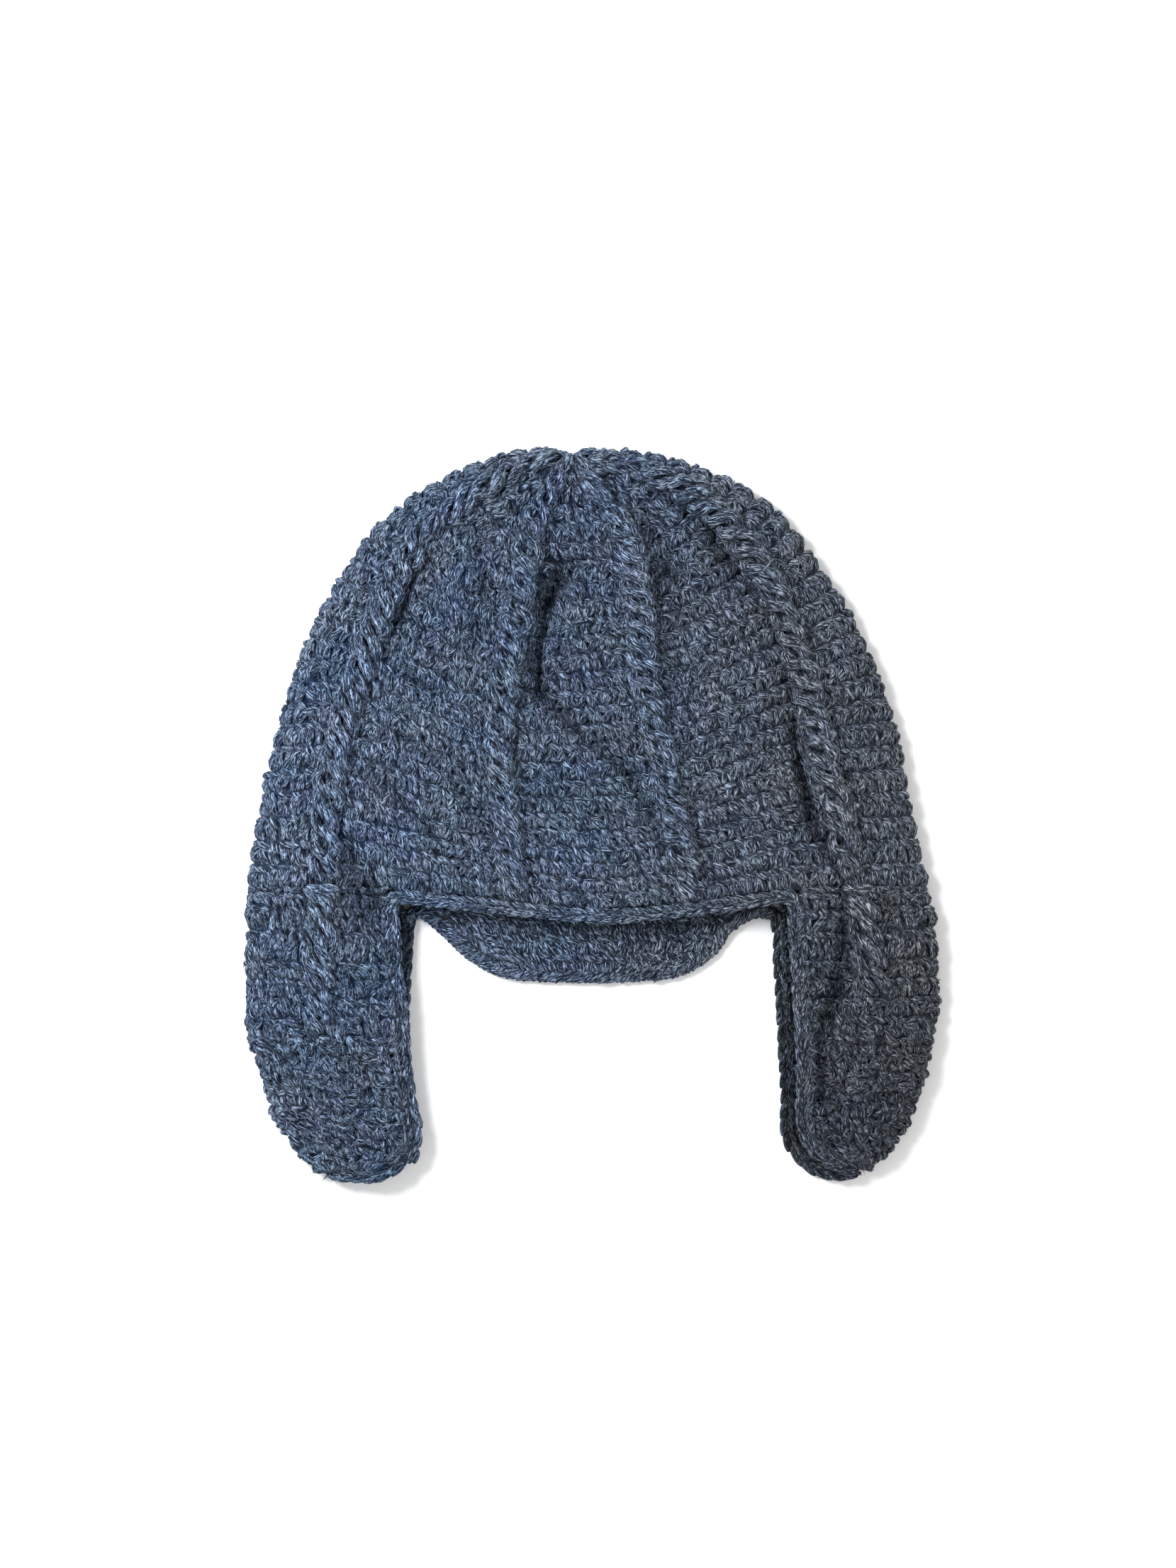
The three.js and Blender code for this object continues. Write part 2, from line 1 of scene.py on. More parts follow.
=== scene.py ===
"""Crocheted earflap cap, lying flat on its back.

The cloth is built from single strands of yarn: posts and top loops in rounds over the crown, raised cables, rows on the
earflaps and the nape flap, a braided edging round the whole opening, and loose fibres. Every strand lies on the same
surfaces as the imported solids, worked out again here from their tables. Millimetres until a mesh is made.
"""

import bpy
import numpy as np
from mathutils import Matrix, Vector


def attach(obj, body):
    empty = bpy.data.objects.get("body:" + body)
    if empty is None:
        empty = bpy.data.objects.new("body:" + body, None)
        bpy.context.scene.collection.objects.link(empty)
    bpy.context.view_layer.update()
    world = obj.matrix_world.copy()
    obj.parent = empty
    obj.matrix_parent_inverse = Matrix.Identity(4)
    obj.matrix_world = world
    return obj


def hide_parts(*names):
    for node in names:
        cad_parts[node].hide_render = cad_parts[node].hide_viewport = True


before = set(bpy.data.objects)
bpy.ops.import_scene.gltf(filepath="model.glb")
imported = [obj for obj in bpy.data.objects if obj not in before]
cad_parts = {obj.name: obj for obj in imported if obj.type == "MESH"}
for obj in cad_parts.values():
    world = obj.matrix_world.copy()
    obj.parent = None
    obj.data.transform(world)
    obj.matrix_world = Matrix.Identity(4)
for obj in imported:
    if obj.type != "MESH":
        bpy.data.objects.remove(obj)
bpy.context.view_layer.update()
rng = np.random.default_rng(11)

# ------------------------------------------------------------------ sizes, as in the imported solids
WALL = 4.5
FOLD_HALF = 6.5
FOLD_RUN = 7.0
PUFF = 12.5
PUFF_RUN = 34.0
EDGE_R = 2.7
EDGE_OUT = EDGE_R + 0.5
RIDGE_HIGH = 2.2
RIDGE_WIDE = 4.6
CABLE_S = (0.125, 0.375, 0.625, 0.875)
BACK_MID = -37.8
SHIFT = np.array([0.38, 0.209, 0.0])  # the middle of the footprint is the origin

ROUNDS = [  # t, yL, yR, yMid, xL, c1, c2, c3, c4, xR
    (0.0, 143.8, 143.8, 143.8, -7.7, -7.7, -7.7, -7.7, -7.7, -7.7),
    (0.06, 144.9, 144.1, 132.7, -22.0, -20.8, -13.2, -1.8, 6.0, 7.2),
    (0.12, 142.2, 142.5, 121.8, -35.8, -34.0, -19.6, 5.8, 20.2, 22.0),
    (0.2, 135.2, 137.8, 107.2, -53.7, -50.6, -24.6, 13.0, 36.5, 41.4),
    (0.32, 120.4, 124.3, 85.3, -78.0, -69.2, -27.8, 17.6, 54.0, 67.6),
    (0.45, 96.7, 99.8, 61.6, -98.0, -82.0, -32.6, 19.6, 69.4, 88.6),
    (0.6, 64.8, 67.8, 34.3, -114.3, -92.0, -36.8, 24.0, 79.8, 107.5),
    (0.75, 30.4, 32.6, 6.9, -124.6, -100.2, -35.7, 30.0, 87.6, 119.8),
    (0.88, 0.1, 0.9, -16.8, -131.4, -104.5, -33.0, 35.2, 95.2, 126.0),
    (1.0, -28.3, -28.3, -36.2, -135.9, -106.5, -30.2, 40.2, 101.2, 132.3),
]
FLAP_LEFT = [  # v, xFold, yFold, xF, yF, xB, yB
    (0.0, -135.9, -28.3, -81.6, -35.0, -75.5, -34.6),
    (0.12, -136.2, -41.7, -82.3, -45.6, -75.7, -45.6),
    (0.24, -136.6, -55.7, -81.2, -57.4, -76.6, -57.4),
    (0.38, -136.6, -72.5, -79.4, -72.9, -77.8, -72.9),
    (0.52, -134.0, -89.3, -78.2, -89.3, -78.0, -89.3),
    (0.65, -130.4, -103.3, -76.9, -103.9, -77.2, -103.9),
    (0.77, -125.9, -115.9, -75.0, -117.0, -75.6, -117.0),
    (0.87, -121.0, -126.3, -73.6, -126.8, -74.2, -126.6),
    (0.94, -115.8, -133.2, -77.8, -133.6, -78.4, -133.4),
    (1.0, -109.0, -138.6, -86.8, -138.8, -87.4, -138.8),
]
FLAP_RIGHT = [  # v, xFold, yFold, xF, yF, xB, yB
    (0.0, 132.3, -28.3, 81.3, -34.6, 75.7, -34.2),
    (0.12, 134.8, -41.7, 83.0, -44.9, 76.3, -44.9),
    (0.24, 135.8, -55.7, 84.4, -56.7, 77.1, -56.7),
    (0.38, 135.9, -72.5, 85.4, -72.5, 78.0, -72.5),
    (0.52, 134.1, -89.3, 86.4, -89.0, 79.1, -89.6),
    (0.65, 131.0, -103.3, 86.8, -102.6, 79.9, -103.9),
    (0.77, 126.7, -115.9, 86.6, -114.2, 80.2, -116.8),
    (0.87, 121.4, -126.3, 87.4, -123.2, 80.8, -126.6),
    (0.94, 116.6, -133.0, 91.0, -129.6, 84.8, -133.4),
    (1.0, 110.0, -137.6, 98.4, -134.6, 93.2, -138.2),
]
NAPE = [  # y, xL, xR, sag
    (-38.2, -60.0, 52.2, 0),
    (-43.6, -55.6, 50.2, 0.1),
    (-49.4, -49.8, 46.6, 0.3),
    (-54.2, -43.6, 41.2, 0.5),
    (-57.8, -37.0, 34.6, 0.9),
    (-59.6, -29.6, 27.6, 1.2),
]
PUFF_AT = [  # y, gain
    (150, 1),
    (55, 1),
    (10, 0.86),
    (-38, 0.42),
    (-62, 0.2),
    (-95, 0.07),
    (-150, 0.04),
]
DENTS = [  # x, y, long, wide, turn, dz
    (-13.2, 88.4, 8, 6, 60, -4.2),
    (-1.5, 88.0, 12, 9, 90, -2.2),
    (-20.8, 55.0, 15, 3.6, 86, -4.0),
    (-3.4, 33.6, 21, 4.2, -40, -2.6),
    (17.6, 11.8, 12, 4.4, -62, -2.4),
    (-74.0, 80.0, 9, 4.4, 80, -2.0),
    (-66.0, 108.0, 9, 4.0, 75, -1.4),
    (-63.0, 48.0, 12, 7, -35, -1.3),
    (-56.0, 6.0, 13, 6, -42, -1.6),
    (-38.0, 112.0, 14, 5, 80, -1.6),
    (-7.0, 129.0, 6, 4.5, 90, -1.8),
    (17.0, 132.0, 9, 4, -30, -1.6),
    (55.0, 99.0, 15, 5, -57, -3.2),
    (35.0, 62.0, 11, 8, 80, -1.8),
    (30.0, 92.0, 12, 6, 88, -2.0),
    (85.0, 11.0, 18, 4.4, -72, -3.0),
    (76.0, 42.0, 16, 4.4, -80, -2.0),
    (52.0, -5.0, 14, 8, 55, -1.2),
    (99.0, -19.0, 9, 4.4, -80, -2.4),
    (95.5, -72.0, 32, 6, 84, -2.4),
    (-94.0, -43.0, 13, 7, 80, -2.4),
    (-83.0, -111.0, 9, 5, -50, -1.2),
    (-7.0, 65.0, 9, 8, 0, 2.0),
    (60.0, 79.0, 13, 6, 88, 1.4),
    (-54.0, 84.0, 18, 7, 100, 2.2),
    (-57.0, -15.0, 16, 9, -40, 1.6),
    (-115.0, -60.0, 30, 9, 90, 1.0),
]

DENT_GAIN = 1.15  # the dents of the loose cloth are deeper than in the solid wall

# Creases of the front, deeper than the solid wall's dents: x, y, depth and half width along each line.
CREASES = (
    ((-13.5, 95.0, 5.0, 4.0), (-17.0, 84.0, 6.6, 4.4), (-19.5, 71.0, 3.4, 2.6), (-20.3, 60.0, 3.8, 2.6), (-20.0, 49.0, 5.8, 3.6), (-9.5, 36.4, 3.2, 2.8), (3.5, 24.4, 2.4, 2.8), (14.5, 17.5, 3.2, 3.0), (20.5, 6.2, 2.4, 2.8), (25.0, -5.9, 1.6, 2.6), (31.5, -21.0, 0.8, 2.6)),
    ((9.7, 139.2, 2.2, 2.6), (25.0, 129.0, 3.4, 3.0), (39.9, 117.9, 3.8, 3.2), (51.9, 102.8, 4.8, 4.0), (63.5, 88.0, 2.6, 3.4), (71.5, 75.9, 1.8, 2.8), (75.4, 61.9, 3.2, 2.8), (77.2, 52.0, 4.4, 2.8), (78.6, 43.0, 2.8, 2.6), (80.6, 31.0, 5.6, 3.2), (82.8, 15.7, 4.6, 3.0), (84.0, 5.0, 5.6, 3.6), (88.0, -5.5, 5.2, 3.6), (93.4, -13.0, 4.0, 3.0), (98.0, -21.0, 2.6, 2.6), (99.6, -30.2, 3.8, 3.0), (100.0, -36.0, 2.2, 3.0), (100.0, -43.0, 3.6, 3.4), (99.6, -52.0, 4.2, 3.4), (97.6, -60.0, 2.6, 3.0), (96.6, -66.4, 4.2, 3.8), (91.4, -81.5, 3.4, 3.0), (88.5, -95.0, 3.0, 2.6), (90.5, -112.0, 3.0, 3.0)),
    ((-66.0, 108.0, 1.0, 2.6), (-70.6, 94.0, 2.6, 2.8), (-74.6, 80.0, 3.6, 3.0), (-79.0, 70.0, 0.6, 2.6)),
    ((-12.0, 97.0, 3.2, 3.6), (6.0, 97.0, 2.4, 3.4)),
    ((-76.6, 33.3, 1.6, 3.0), (-55.3, 18.2, 2.4, 3.2), (-47.7, 3.1, 2.0, 3.2), (-38.0, -10.0, 1.0, 3.0)),
    ((-84.1, 63.6, 0.8, 2.4), (-72.0, 55.0, 1.8, 2.6), (-59.9, 45.4, 0.8, 2.4)),
    ((-90.1, 21.2, 0.8, 2.4), (-77.0, 8.0, 1.8, 2.8), (-65.9, -3.0, 1.8, 2.8), (-50.8, -21.0, 0.8, 2.6)),
    ((-96.0, -10.0, 1.6, 3.0), (-93.0, -22.0, 3.6, 5.0), (-89.0, -34.0, 3.8, 7.5), (-88.0, -47.0, 2.8, 7.5)),
    ((20.0, 118.0, 2.0, 3.4), (29.0, 98.0, 3.2, 5.5), (32.0, 74.0, 2.2, 5.5)),
    ((7.5, 133.0, 4.0, 3.6), (9.5, 123.0, 3.4, 3.4)),
    ((-44.0, 104.0, 1.8, 3.0), (-43.0, 84.0, 2.4, 3.4), (-47.0, 70.0, 1.6, 3.4)),
)
ROUND_COUNT = 26  # rounds from the top centre to the hem
STITCH = 4.4  # width of one stitch
SINK = 1.25  # the strands' middle layer lies this far inside the smooth surface

R = np.array(ROUNDS, float)
FL = np.array(FLAP_LEFT, float)
FR = np.array(FLAP_RIGHT, float)
NP = np.array(NAPE, float)
PA = np.array(PUFF_AT, float)[::-1]
DN = np.array(DENTS, float)


# ------------------------------------------------------------------ surfaces
def along(xs, ys, at):
    """Smooth curve through a table. ys is (n,) or (n, N), one column for each point of at."""
    xs = np.asarray(xs, float)
    at = np.asarray(at, float)
    ys = np.asarray(ys, float)
    if ys.ndim == 1:
        ys = ys[:, None]
    h = np.diff(xs)[:, None]
    rise = np.diff(ys, axis=0) / h
    slope = np.empty_like(ys)
    slope[0], slope[-1] = rise[0], rise[-1]
    slope[1:-1] = (rise[:-1] * h[1:] + rise[1:] * h[:-1]) / (h[1:] + h[:-1])
    k = np.clip(np.searchsorted(xs, at, "left") - 1, 0, len(xs) - 2)
    c = np.arange(at.size) if ys.shape[1] > 1 else np.zeros(at.size, int)
    w = h[k, 0]
    u = (at - xs[k]) / w
    return (
        (1 + 2 * u) * (1 - u) ** 2 * ys[k, c]
        + u * (1 - u) ** 2 * w * slope[k, c]
        + u * u * (3 - 2 * u) * ys[k + 1, c]
        + u * u * (u - 1) * w * slope[k + 1, c]
    )


def front_xy(s, t):
    g = np.array([along(R[:, 0], R[:, 4 + i], t) for i in range(6)])
    x = along((0,) + CABLE_S + (1,), g, s)
    yl, yr, ym = (along(R[:, 0], R[:, i], t) for i in (1, 2, 3))
    bow = np.maximum(0, np.sin(np.pi * s)) ** (1 + 4.2 * t**6)  # the last rounds sag only in their middle
    return x, yl + (yr - yl) * s + (ym - (yl + yr) / 2) * bow


def back_xy(s, t):
    xl, xr, yl, yr, ym = (along(R[:, 0], R[:, i], t) for i in (4, 9, 1, 2, 3))
    w = t**0.7
    share = (1 - w) * (1 - np.cos(np.pi * s)) / 2 + w * s
    ym = ym + (BACK_MID - R[-1, 3]) * t
    return xl + (xr - xl) * share, yl + (yr - yl) * s + (ym - (yl + yr) / 2) * np.sin(np.pi * s)


_f = np.linspace(0, 1, 41)
_g = np.linspace(0, 1, 21)
FOLD = np.vstack(
    [
        np.c_[along(FL[:, 0], FL[:, 1], _g), along(FL[:, 0], FL[:, 2], _g)][:0:-1],
        np.c_[along(R[:, 0], R[:, 4], _f), along(R[:, 0], R[:, 1], _f)][:0:-1],
        np.c_[along(R[:, 0], R[:, 9], _f), along(R[:, 0], R[:, 2], _f)],
        np.c_[along(FR[:, 0], FR[:, 1], _g), along(FR[:, 0], FR[:, 2], _g)][1:],
    ]
)


def to_fold(x, y):
    """Distance to the fold line, and the direction out of the cap there."""
    p = np.c_[x, y]
    a = FOLD[:-1]
    d = FOLD[1:] - a
    dd = (d * d).sum(1)
    dd[dd == 0] = 1
    best = np.full(len(p), np.inf)
    out = np.zeros((len(p), 2))
    for i in range(len(a)):
        w = np.clip(((p - a[i]) @ d[i]) / dd[i], 0, 1)
        q = p - a[i] - w[:, None] * d[i]
        far = np.hypot(q[:, 0], q[:, 1])
        near = far < best
        square = np.array([-d[i][1], d[i][0]]) / np.sqrt(dd[i])
        use = np.where((far > 0.8)[:, None], -q / (far[:, None] + 1e-9), square)
        out[near] = use[near]
        best = np.where(near, far, best)
    return best, out


def from_fold(x, y):
    return to_fold(x, y)[0]


def rounding(d):
    return np.sqrt(np.maximum(0, 1 - (1 - np.minimum(1, d / FOLD_RUN)) ** 2))


def front_high(x, y, d=None):
    d = from_fold(x, y) if d is None else d
    puff = PUFF * along(PA[:, 0], PA[:, 1], y) * (1 - np.exp(-np.maximum(0, d - 2) / PUFF_RUN))
    dents = 0
    for qx, qy, long, wide, turn, dz in DN:
        c, s = np.cos(np.radians(turn)), np.sin(np.radians(turn))
        u = ((x - qx) * c + (y - qy) * s) / long
        w = (-(x - qx) * s + (y - qy) * c) / wide
        dents = dents + dz * np.exp(-u * u - w * w)
    return FOLD_HALF * (1 + rounding(d)) + puff + DENT_GAIN * dents * np.minimum(1, d / 14)


def creases(x, y):
    """How far the cloth lies below its even surface, in mm."""
    out = np.zeros_like(x)
    for line in CREASES:
        deep = np.zeros_like(x)
        for (ax, ay, da, wa), (bx, by, db, wb) in zip(line[:-1], line[1:]):
            m = np.hypot(bx - ax, by - ay)
            w = np.clip(((x - ax) * (bx - ax) + (y - ay) * (by - ay)) / m**2, 0, 1)
            far = np.hypot(x - ax - w * (bx - ax), y - ay - w * (by - ay))
            deep = np.maximum(deep, (da + (db - da) * w) * np.exp(-((far / (wa + (wb - wa) * w)) ** 2)))
        out = out + deep
    return out


def back_high(x, y, d=None):
    return FOLD_HALF * (1 - rounding(from_fold(x, y) if d is None else d))


def ripple(x, y):
    """Small unevenness of hand-made cloth, between about -1 and 1."""
    out = np.zeros_like(x)
    for k, (fx, fy, ph) in enumerate(((0.31, 0.17, 0.4), (-0.19, 0.36, 2.1), (0.52, -0.28, 4.0), (0.12, 0.61, 5.3), (0.44, 0.47, 1.2), (-0.63, 0.22, 3.1))):
        out = out + np.sin(fx * x + fy * y + ph + 1.3 * np.sin(0.09 * (k + 1) * y + k) + 1.1 * np.sin(0.07 * (k + 2) * x - k))
    return out / 3.4


def folds(x, y, t):
    """Soft folds of the front: the cloth climbs to each raised cable and falls away beside it."""
    out = np.zeros_like(x)
    t0 = float(t.ravel()[0])
    grow = min(1.0, max(0.0, (t0 - 0.06) / 0.16))
    for c, rise, falls in zip(
        CABLE_S,
        (1.3, 2.2, 1.8, 1.6),
        # height of the fall beside the cable at a few rounds, and on which side
        ((1, (0, 0.6, 0.3, 0.0, 0.0, 0.0)), (1, (0, 1.4, 1.4, 0.4, 0.0, 0.0)), (1, (0, 0.6, 0.4, 0.0, 0.0, 0.0)), (-1, (0, 0.6, 0.8, 0.8, 0.8, 0.4))),
    ):
        cx, _ = front_xy(np.full_like(x, c), t)
        u = (x - cx) * falls[0]
        fall = np.interp(t0, (0.0, 0.15, 0.35, 0.55, 0.75, 1.0), falls[1])
        rise = rise * (1 - 0.6 * min(1.0, max(0.0, (t0 - 0.45) / 0.25)))
        out = out + grow * rise * np.exp(-((u / 6.5) ** 2)) - fall * np.exp(-(((u - 9.0) / 4.5) ** 2))
    return out


def ridge(s, t):
    x, y = front_xy(s, t)
    wide = RIDGE_WIDE * np.minimum(1, 0.35 + 1.6 * t)
    out = 0
    for c in CABLE_S:
        cx, _ = front_xy(np.full_like(s, c), t)
        out = out + RIDGE_HIGH * np.minimum(1, t * 6) * np.exp(-(((x - cx) / wide) ** 2))
    return out


class Cloth:
    """A grid of points and outward normals. Rows run down the cloth, columns along a row of stitches."""

    def __init__(self, points, rows, closed, outward, sink=SINK):
        self.rows = np.asarray(rows, float)
        self.closed = closed
        p = points
        du = (np.roll(p, -1, 1) - np.roll(p, 1, 1)) if closed else np.gradient(p, axis=1)
        dv = np.gradient(p, axis=0)
        n = np.cross(du, dv)
        n /= np.linalg.norm(n, axis=2, keepdims=True) + 1e-12
        o = outward(p)
        if (n * o).sum() < 0:
            n = -n
        trust = np.clip(((n * o).sum(2, keepdims=True) - 0.45) / 0.35, 0, 1)
        n = n * trust + o * (1 - trust)
        n /= np.linalg.norm(n, axis=2, keepdims=True) + 1e-12
        self.n = n
        self.p = p - sink * n
        self.raw = p
        if closed:
            self.p = np.concatenate([self.p, self.p[:, :1]], 1)
            self.n = np.concatenate([n, n[:, :1]], 1)
        self.cols = self.p.shape[1]

    def _row(self, t):
        return np.interp(t, self.rows, np.arange(len(self.rows)))

    def at(self, t, q):
        """Points and normals at row parameter t and column q, both arrays of one shape."""
        i = np.clip(self._row(t), 0, len(self.rows) - 1.000001)
        last = self.cols - 1
        q = np.mod(q, last) if self.closed else np.clip(q, 0, last - 1e-6)
        i0, j0 = i.astype(int), np.minimum(q.astype(int), last - 1)
        a, b = (i - i0)[..., None], (q - j0)[..., None]
        out = []
        for g in (self.p, self.n):
            out.append((g[i0, j0] * (1 - b) + g[i0, j0 + 1] * b) * (1 - a) + (g[i0 + 1, j0] * (1 - b) + g[i0 + 1, j0 + 1] * b) * a)
        out[1] /= np.linalg.norm(out[1], axis=-1, keepdims=True) + 1e-12
        return out

    def arc(self, t):
        q = np.arange(self.cols, dtype=float)
        if self.closed:
            q[-1] -= 1e-6
        p, _ = self.at(np.full(self.cols, t), q)
        return np.concatenate([[0], np.cumsum(np.linalg.norm(np.diff(p, axis=0), axis=1))])

    def high(self, t, dt, q):
        a, _ = self.at(np.full(q.shape, t), q)
        b, _ = self.at(np.full(q.shape, min(t + dt, self.rows[-1])), q)
        return np.linalg.norm(b - a, axis=-1) * (dt / max(1e-6, min(t + dt, self.rows[-1]) - t))


def round_body(front_cols):
    """Outward direction of a doubled cloth: up on the front, down on the back, sideways at the fold."""

    def out(p):
        d, g = to_fold(p[..., 0].ravel(), p[..., 1].ravel())
        d, g = d.reshape(p.shape[:2]), g.reshape(p.shape[:2] + (2,))
        flat = np.maximum(0.0, 1 - d / FOLD_RUN)
        n = np.zeros_like(p)
        n[..., :2] = g * flat[..., None]
        n[..., 2] = rounding(d) * front_cols[None]
        return n / (np.linalg.norm(n, axis=2, keepdims=True) + 1e-12)

    return out


NF, NB = 321, 121
FRONT_COLS = (1 - np.cos(np.pi * np.linspace(0, 1, NF))) / 2
BACK_COLS = ((1 - np.cos(np.pi * np.linspace(0, 1, NB))) / 2)[::-1][1:-1]
CROWN_T = np.concatenate([[0.012, 0.02, 0.03], np.linspace(0.04, 1, 151)])


def crown_cloth():
    rows = []
    for t in CROWN_T:
        ta, tb = np.full(NF, t), np.full(NB - 2, t)
        x, y = front_xy(FRONT_COLS, ta)
        d = from_fold(x, y)
        z = front_high(x, y, d) + ridge(FRONT_COLS, ta) * np.minimum(1, d / 10) * (0.9 - 0.5 * min(1.0, max(0.0, (t - 0.35) / 0.3)))
        z += (folds(x, y, ta) + 0.6 * ripple(x, y) - creases(x, y)) * np.minimum(1, d / 16)
        z[0] = z[-1] = FOLD_HALF
        u, v = back_xy(BACK_COLS, tb)
        rows.append(np.vstack([np.c_[x, y, z], np.c_[u, v, back_high(u, v)]]))
    half = np.concatenate([np.ones(NF), -np.ones(NB - 2)])
    return Cloth(np.array(rows), CROWN_T, True, round_body(half))


def hem_y(half, x):
    """y of the crown's last round at x."""
    point = front_xy if half == "F" else back_xy
    s = np.full_like(x, 0.5)
    for _ in range(40):
        s = np.clip(s + 0.8 * (x - point(s, np.ones_like(s))[0]) / (R[-1, 9] - R[-1, 4]), 0, 1)
    return point(s, np.ones_like(s))[1]


def flap_xy(table, half, w, v):
    xf, yf = along(table[:, 0], table[:, 1], v), along(table[:, 0], table[:, 2], v)
    k = 3 if half == "F" else 5
    x, y = along(table[:, 0], table[:, k], v), along(table[:, 0], table[:, k + 1], v)
    share = np.maximum(0, 1 - v / 0.24)
    edge = yf + (R[-1, 1] - yf) * share  # the fold's y in this row, and its x there
    xf = np.interp(-edge, -table[:, 2], table[:, 1])
    px = xf + (x - xf) * w
    py = yf + (y - yf) * w
    return px, py + (hem_y(half, px) - py) * share


FLAP_V = np.linspace(0, 1, 81)
FLAP_W = np.linspace(0, 1, 61) ** 1.8


def flap_cloth(table):
    rows = []
    for v in FLAP_V:
        va = np.full(61, v)
        bx, by = flap_xy(table, "B", FLAP_W, va)
        fx, fy = flap_xy(table, "F", FLAP_W, va)
        fd = np.minimum(from_fold(fx, fy), np.hypot(fx - fx[0], fy - fy[0]))
        bd = np.minimum(from_fold(bx, by), np.hypot(bx - bx[0], by - by[0]))
        fz = front_high(fx, fy, fd) + (0.9 * ripple(fx, fy) - creases(fx, fy)) * np.minimum(1, fd / 14)
        rows.append(np.vstack([np.c_[bx, by, back_high(bx, by, bd)][::-1][:-1], np.c_[fx, fy, fz]]))
    half = np.concatenate([-np.ones(60), np.ones(61)])
    return Cloth(np.array(rows), FLAP_V, False, round_body(half))


NAPE_V = np.linspace(0, 1, 31)


def nape_cloth(high, up, sink, wider):
    """The nape flap's upper side (high = WALL) or its underside, with rows that follow its lower border."""
    w = np.linspace(0, 1, 81)
    rows = []
    for v in NAPE_V:
        y = NP[0, 0] + (NP[-1, 0] - NP[0, 0]) * v
        xl, xr, sag = (float(along(-NP[:, 0], NP[:, k], np.array([-y]))[0]) for k in (1, 2, 3))
        corner = 5.0 * max(0.0, 1 - v / 0.22)
        xl, xr = xl - wider - corner, xr + wider + corner
        x = xl + (xr - xl) * w
        bend = (1 - v) ** 2
        py = bend * (hem_y("B", x) - 0.4) + (1 - bend) * (y - sag * np.sin(np.pi * w)) - wider * v
        rows.append(np.c_[x, py, np.full(81, high)])
    return Cloth(np.array(rows), NAPE_V, False, lambda p: np.broadcast_to(np.array([0.0, 0.0, float(up)]), p.shape), sink)


# ------------------------------------------------------------------ yarn
class Yarn:
    """Collects strands: centre lines with their outward direction and thickness, and turns them into one mesh."""

    def __init__(self):
        self.batches = {}

    def add(self, pts, out, radius, sides=6, flat=0.70, tone=None):
        """pts and out (k, rings, 3); radius (k,) or (k, rings)."""
        k, rings, _ = pts.shape
        if k == 0:
            return
        radius = np.asarray(radius, float)
        if radius.ndim == 1:
            s = np.linspace(0, 1, rings)
            radius = radius[:, None] * (0.50 + 0.50 * np.sin(np.pi * s) ** 0.5)[None]
        tone = rng.random(k) if tone is None else tone
        self.batches.setdefault((rings, sides, flat), []).append((pts, out, radius, tone))

    def arrays(self):
        verts, quads, uvs, tones = [], [], [], []
        base = 0
        for (rings, sides, flat), parts in self.batches.items():
            pts = np.concatenate([b[0] for b in parts])
            out = np.concatenate([b[1] for b in parts])
            rad = np.concatenate([b[2] for b in parts])
            tone = np.concatenate([b[3] for b in parts])
            k = len(pts)
            tan = np.gradient(pts, axis=1)
            tan /= np.linalg.norm(tan, axis=2, keepdims=True) + 1e-9
            side = np.cross(tan, out)
            side /= np.linalg.norm(side, axis=2, keepdims=True) + 1e-9
            up = np.cross(side, tan)
            ang = 2 * np.pi * (np.arange(sides) + 0.5 * (sides == 4)) / sides
            ring = (
                pts[:, :, None]
                + rad[:, :, None, None] * np.cos(ang)[None, None, :, None] * side[:, :, None]
                + flat * rad[:, :, None, None] * np.sin(ang)[None, None, :, None] * up[:, :, None]
            )
            verts.append(ring.reshape(-1, 3))
            length = np.concatenate([np.zeros((k, 1)), np.cumsum(np.linalg.norm(np.diff(pts, axis=1), axis=2), axis=1)], 1)
            u0, v0 = rng.random(k) * 400, rng.random(k) * 400
            turn = 2 * np.pi * rad.mean(1) * 0.9
            twist = 0.30 + 0.16 * rng.normal(0, 1, k)
            i, j = np.meshgrid(np.arange(rings - 1), np.arange(sides), indexing="ij")
            i, j = i.ravel(), j.ravel()
            jn = (j + 1) % sides
            start = base + np.arange(k)[:, None] * rings * sides
            # side faces, wound so that they face out
            q = np.stack([start + i * sides + jn, start + (i + 1) * sides + jn, start + (i + 1) * sides + j, start + i * sides + j], 2)
            u = np.stack([length[:, i], length[:, i + 1], length[:, i + 1], length[:, i]], 2)
            v = np.stack([np.broadcast_to(c / sides, (k, len(j))) for c in (j + 1, j + 1, j, j)], 2) * turn[:, None, None]
            v = v + twist[:, None, None] * u
            quads.append(q.reshape(-1, 4))
            uvs.append(np.stack([u + u0[:, None, None], v + v0[:, None, None]], 3).reshape(-1, 2))
            # both ends closed
            last = start + (rings - 1) * sides
            caps = [(0, 1, 2, 3)] if sides == 4 else [(0, 1, 2, 5), (2, 3, 4, 5)]
            for cap in caps:
                for ring0, order in ((start, cap), (last, cap[::-1])):
                    quads.append(np.stack([ring0[:, 0] + c for c in order], 1))
                    uvs.append(np.repeat(np.c_[u0, v0], 4, 0))
            tones.append(np.repeat(tone, rings * sides))
            base += k * rings * sides
        return np.concatenate(verts), np.concatenate(quads), np.concatenate(uvs), np.concatenate(tones)


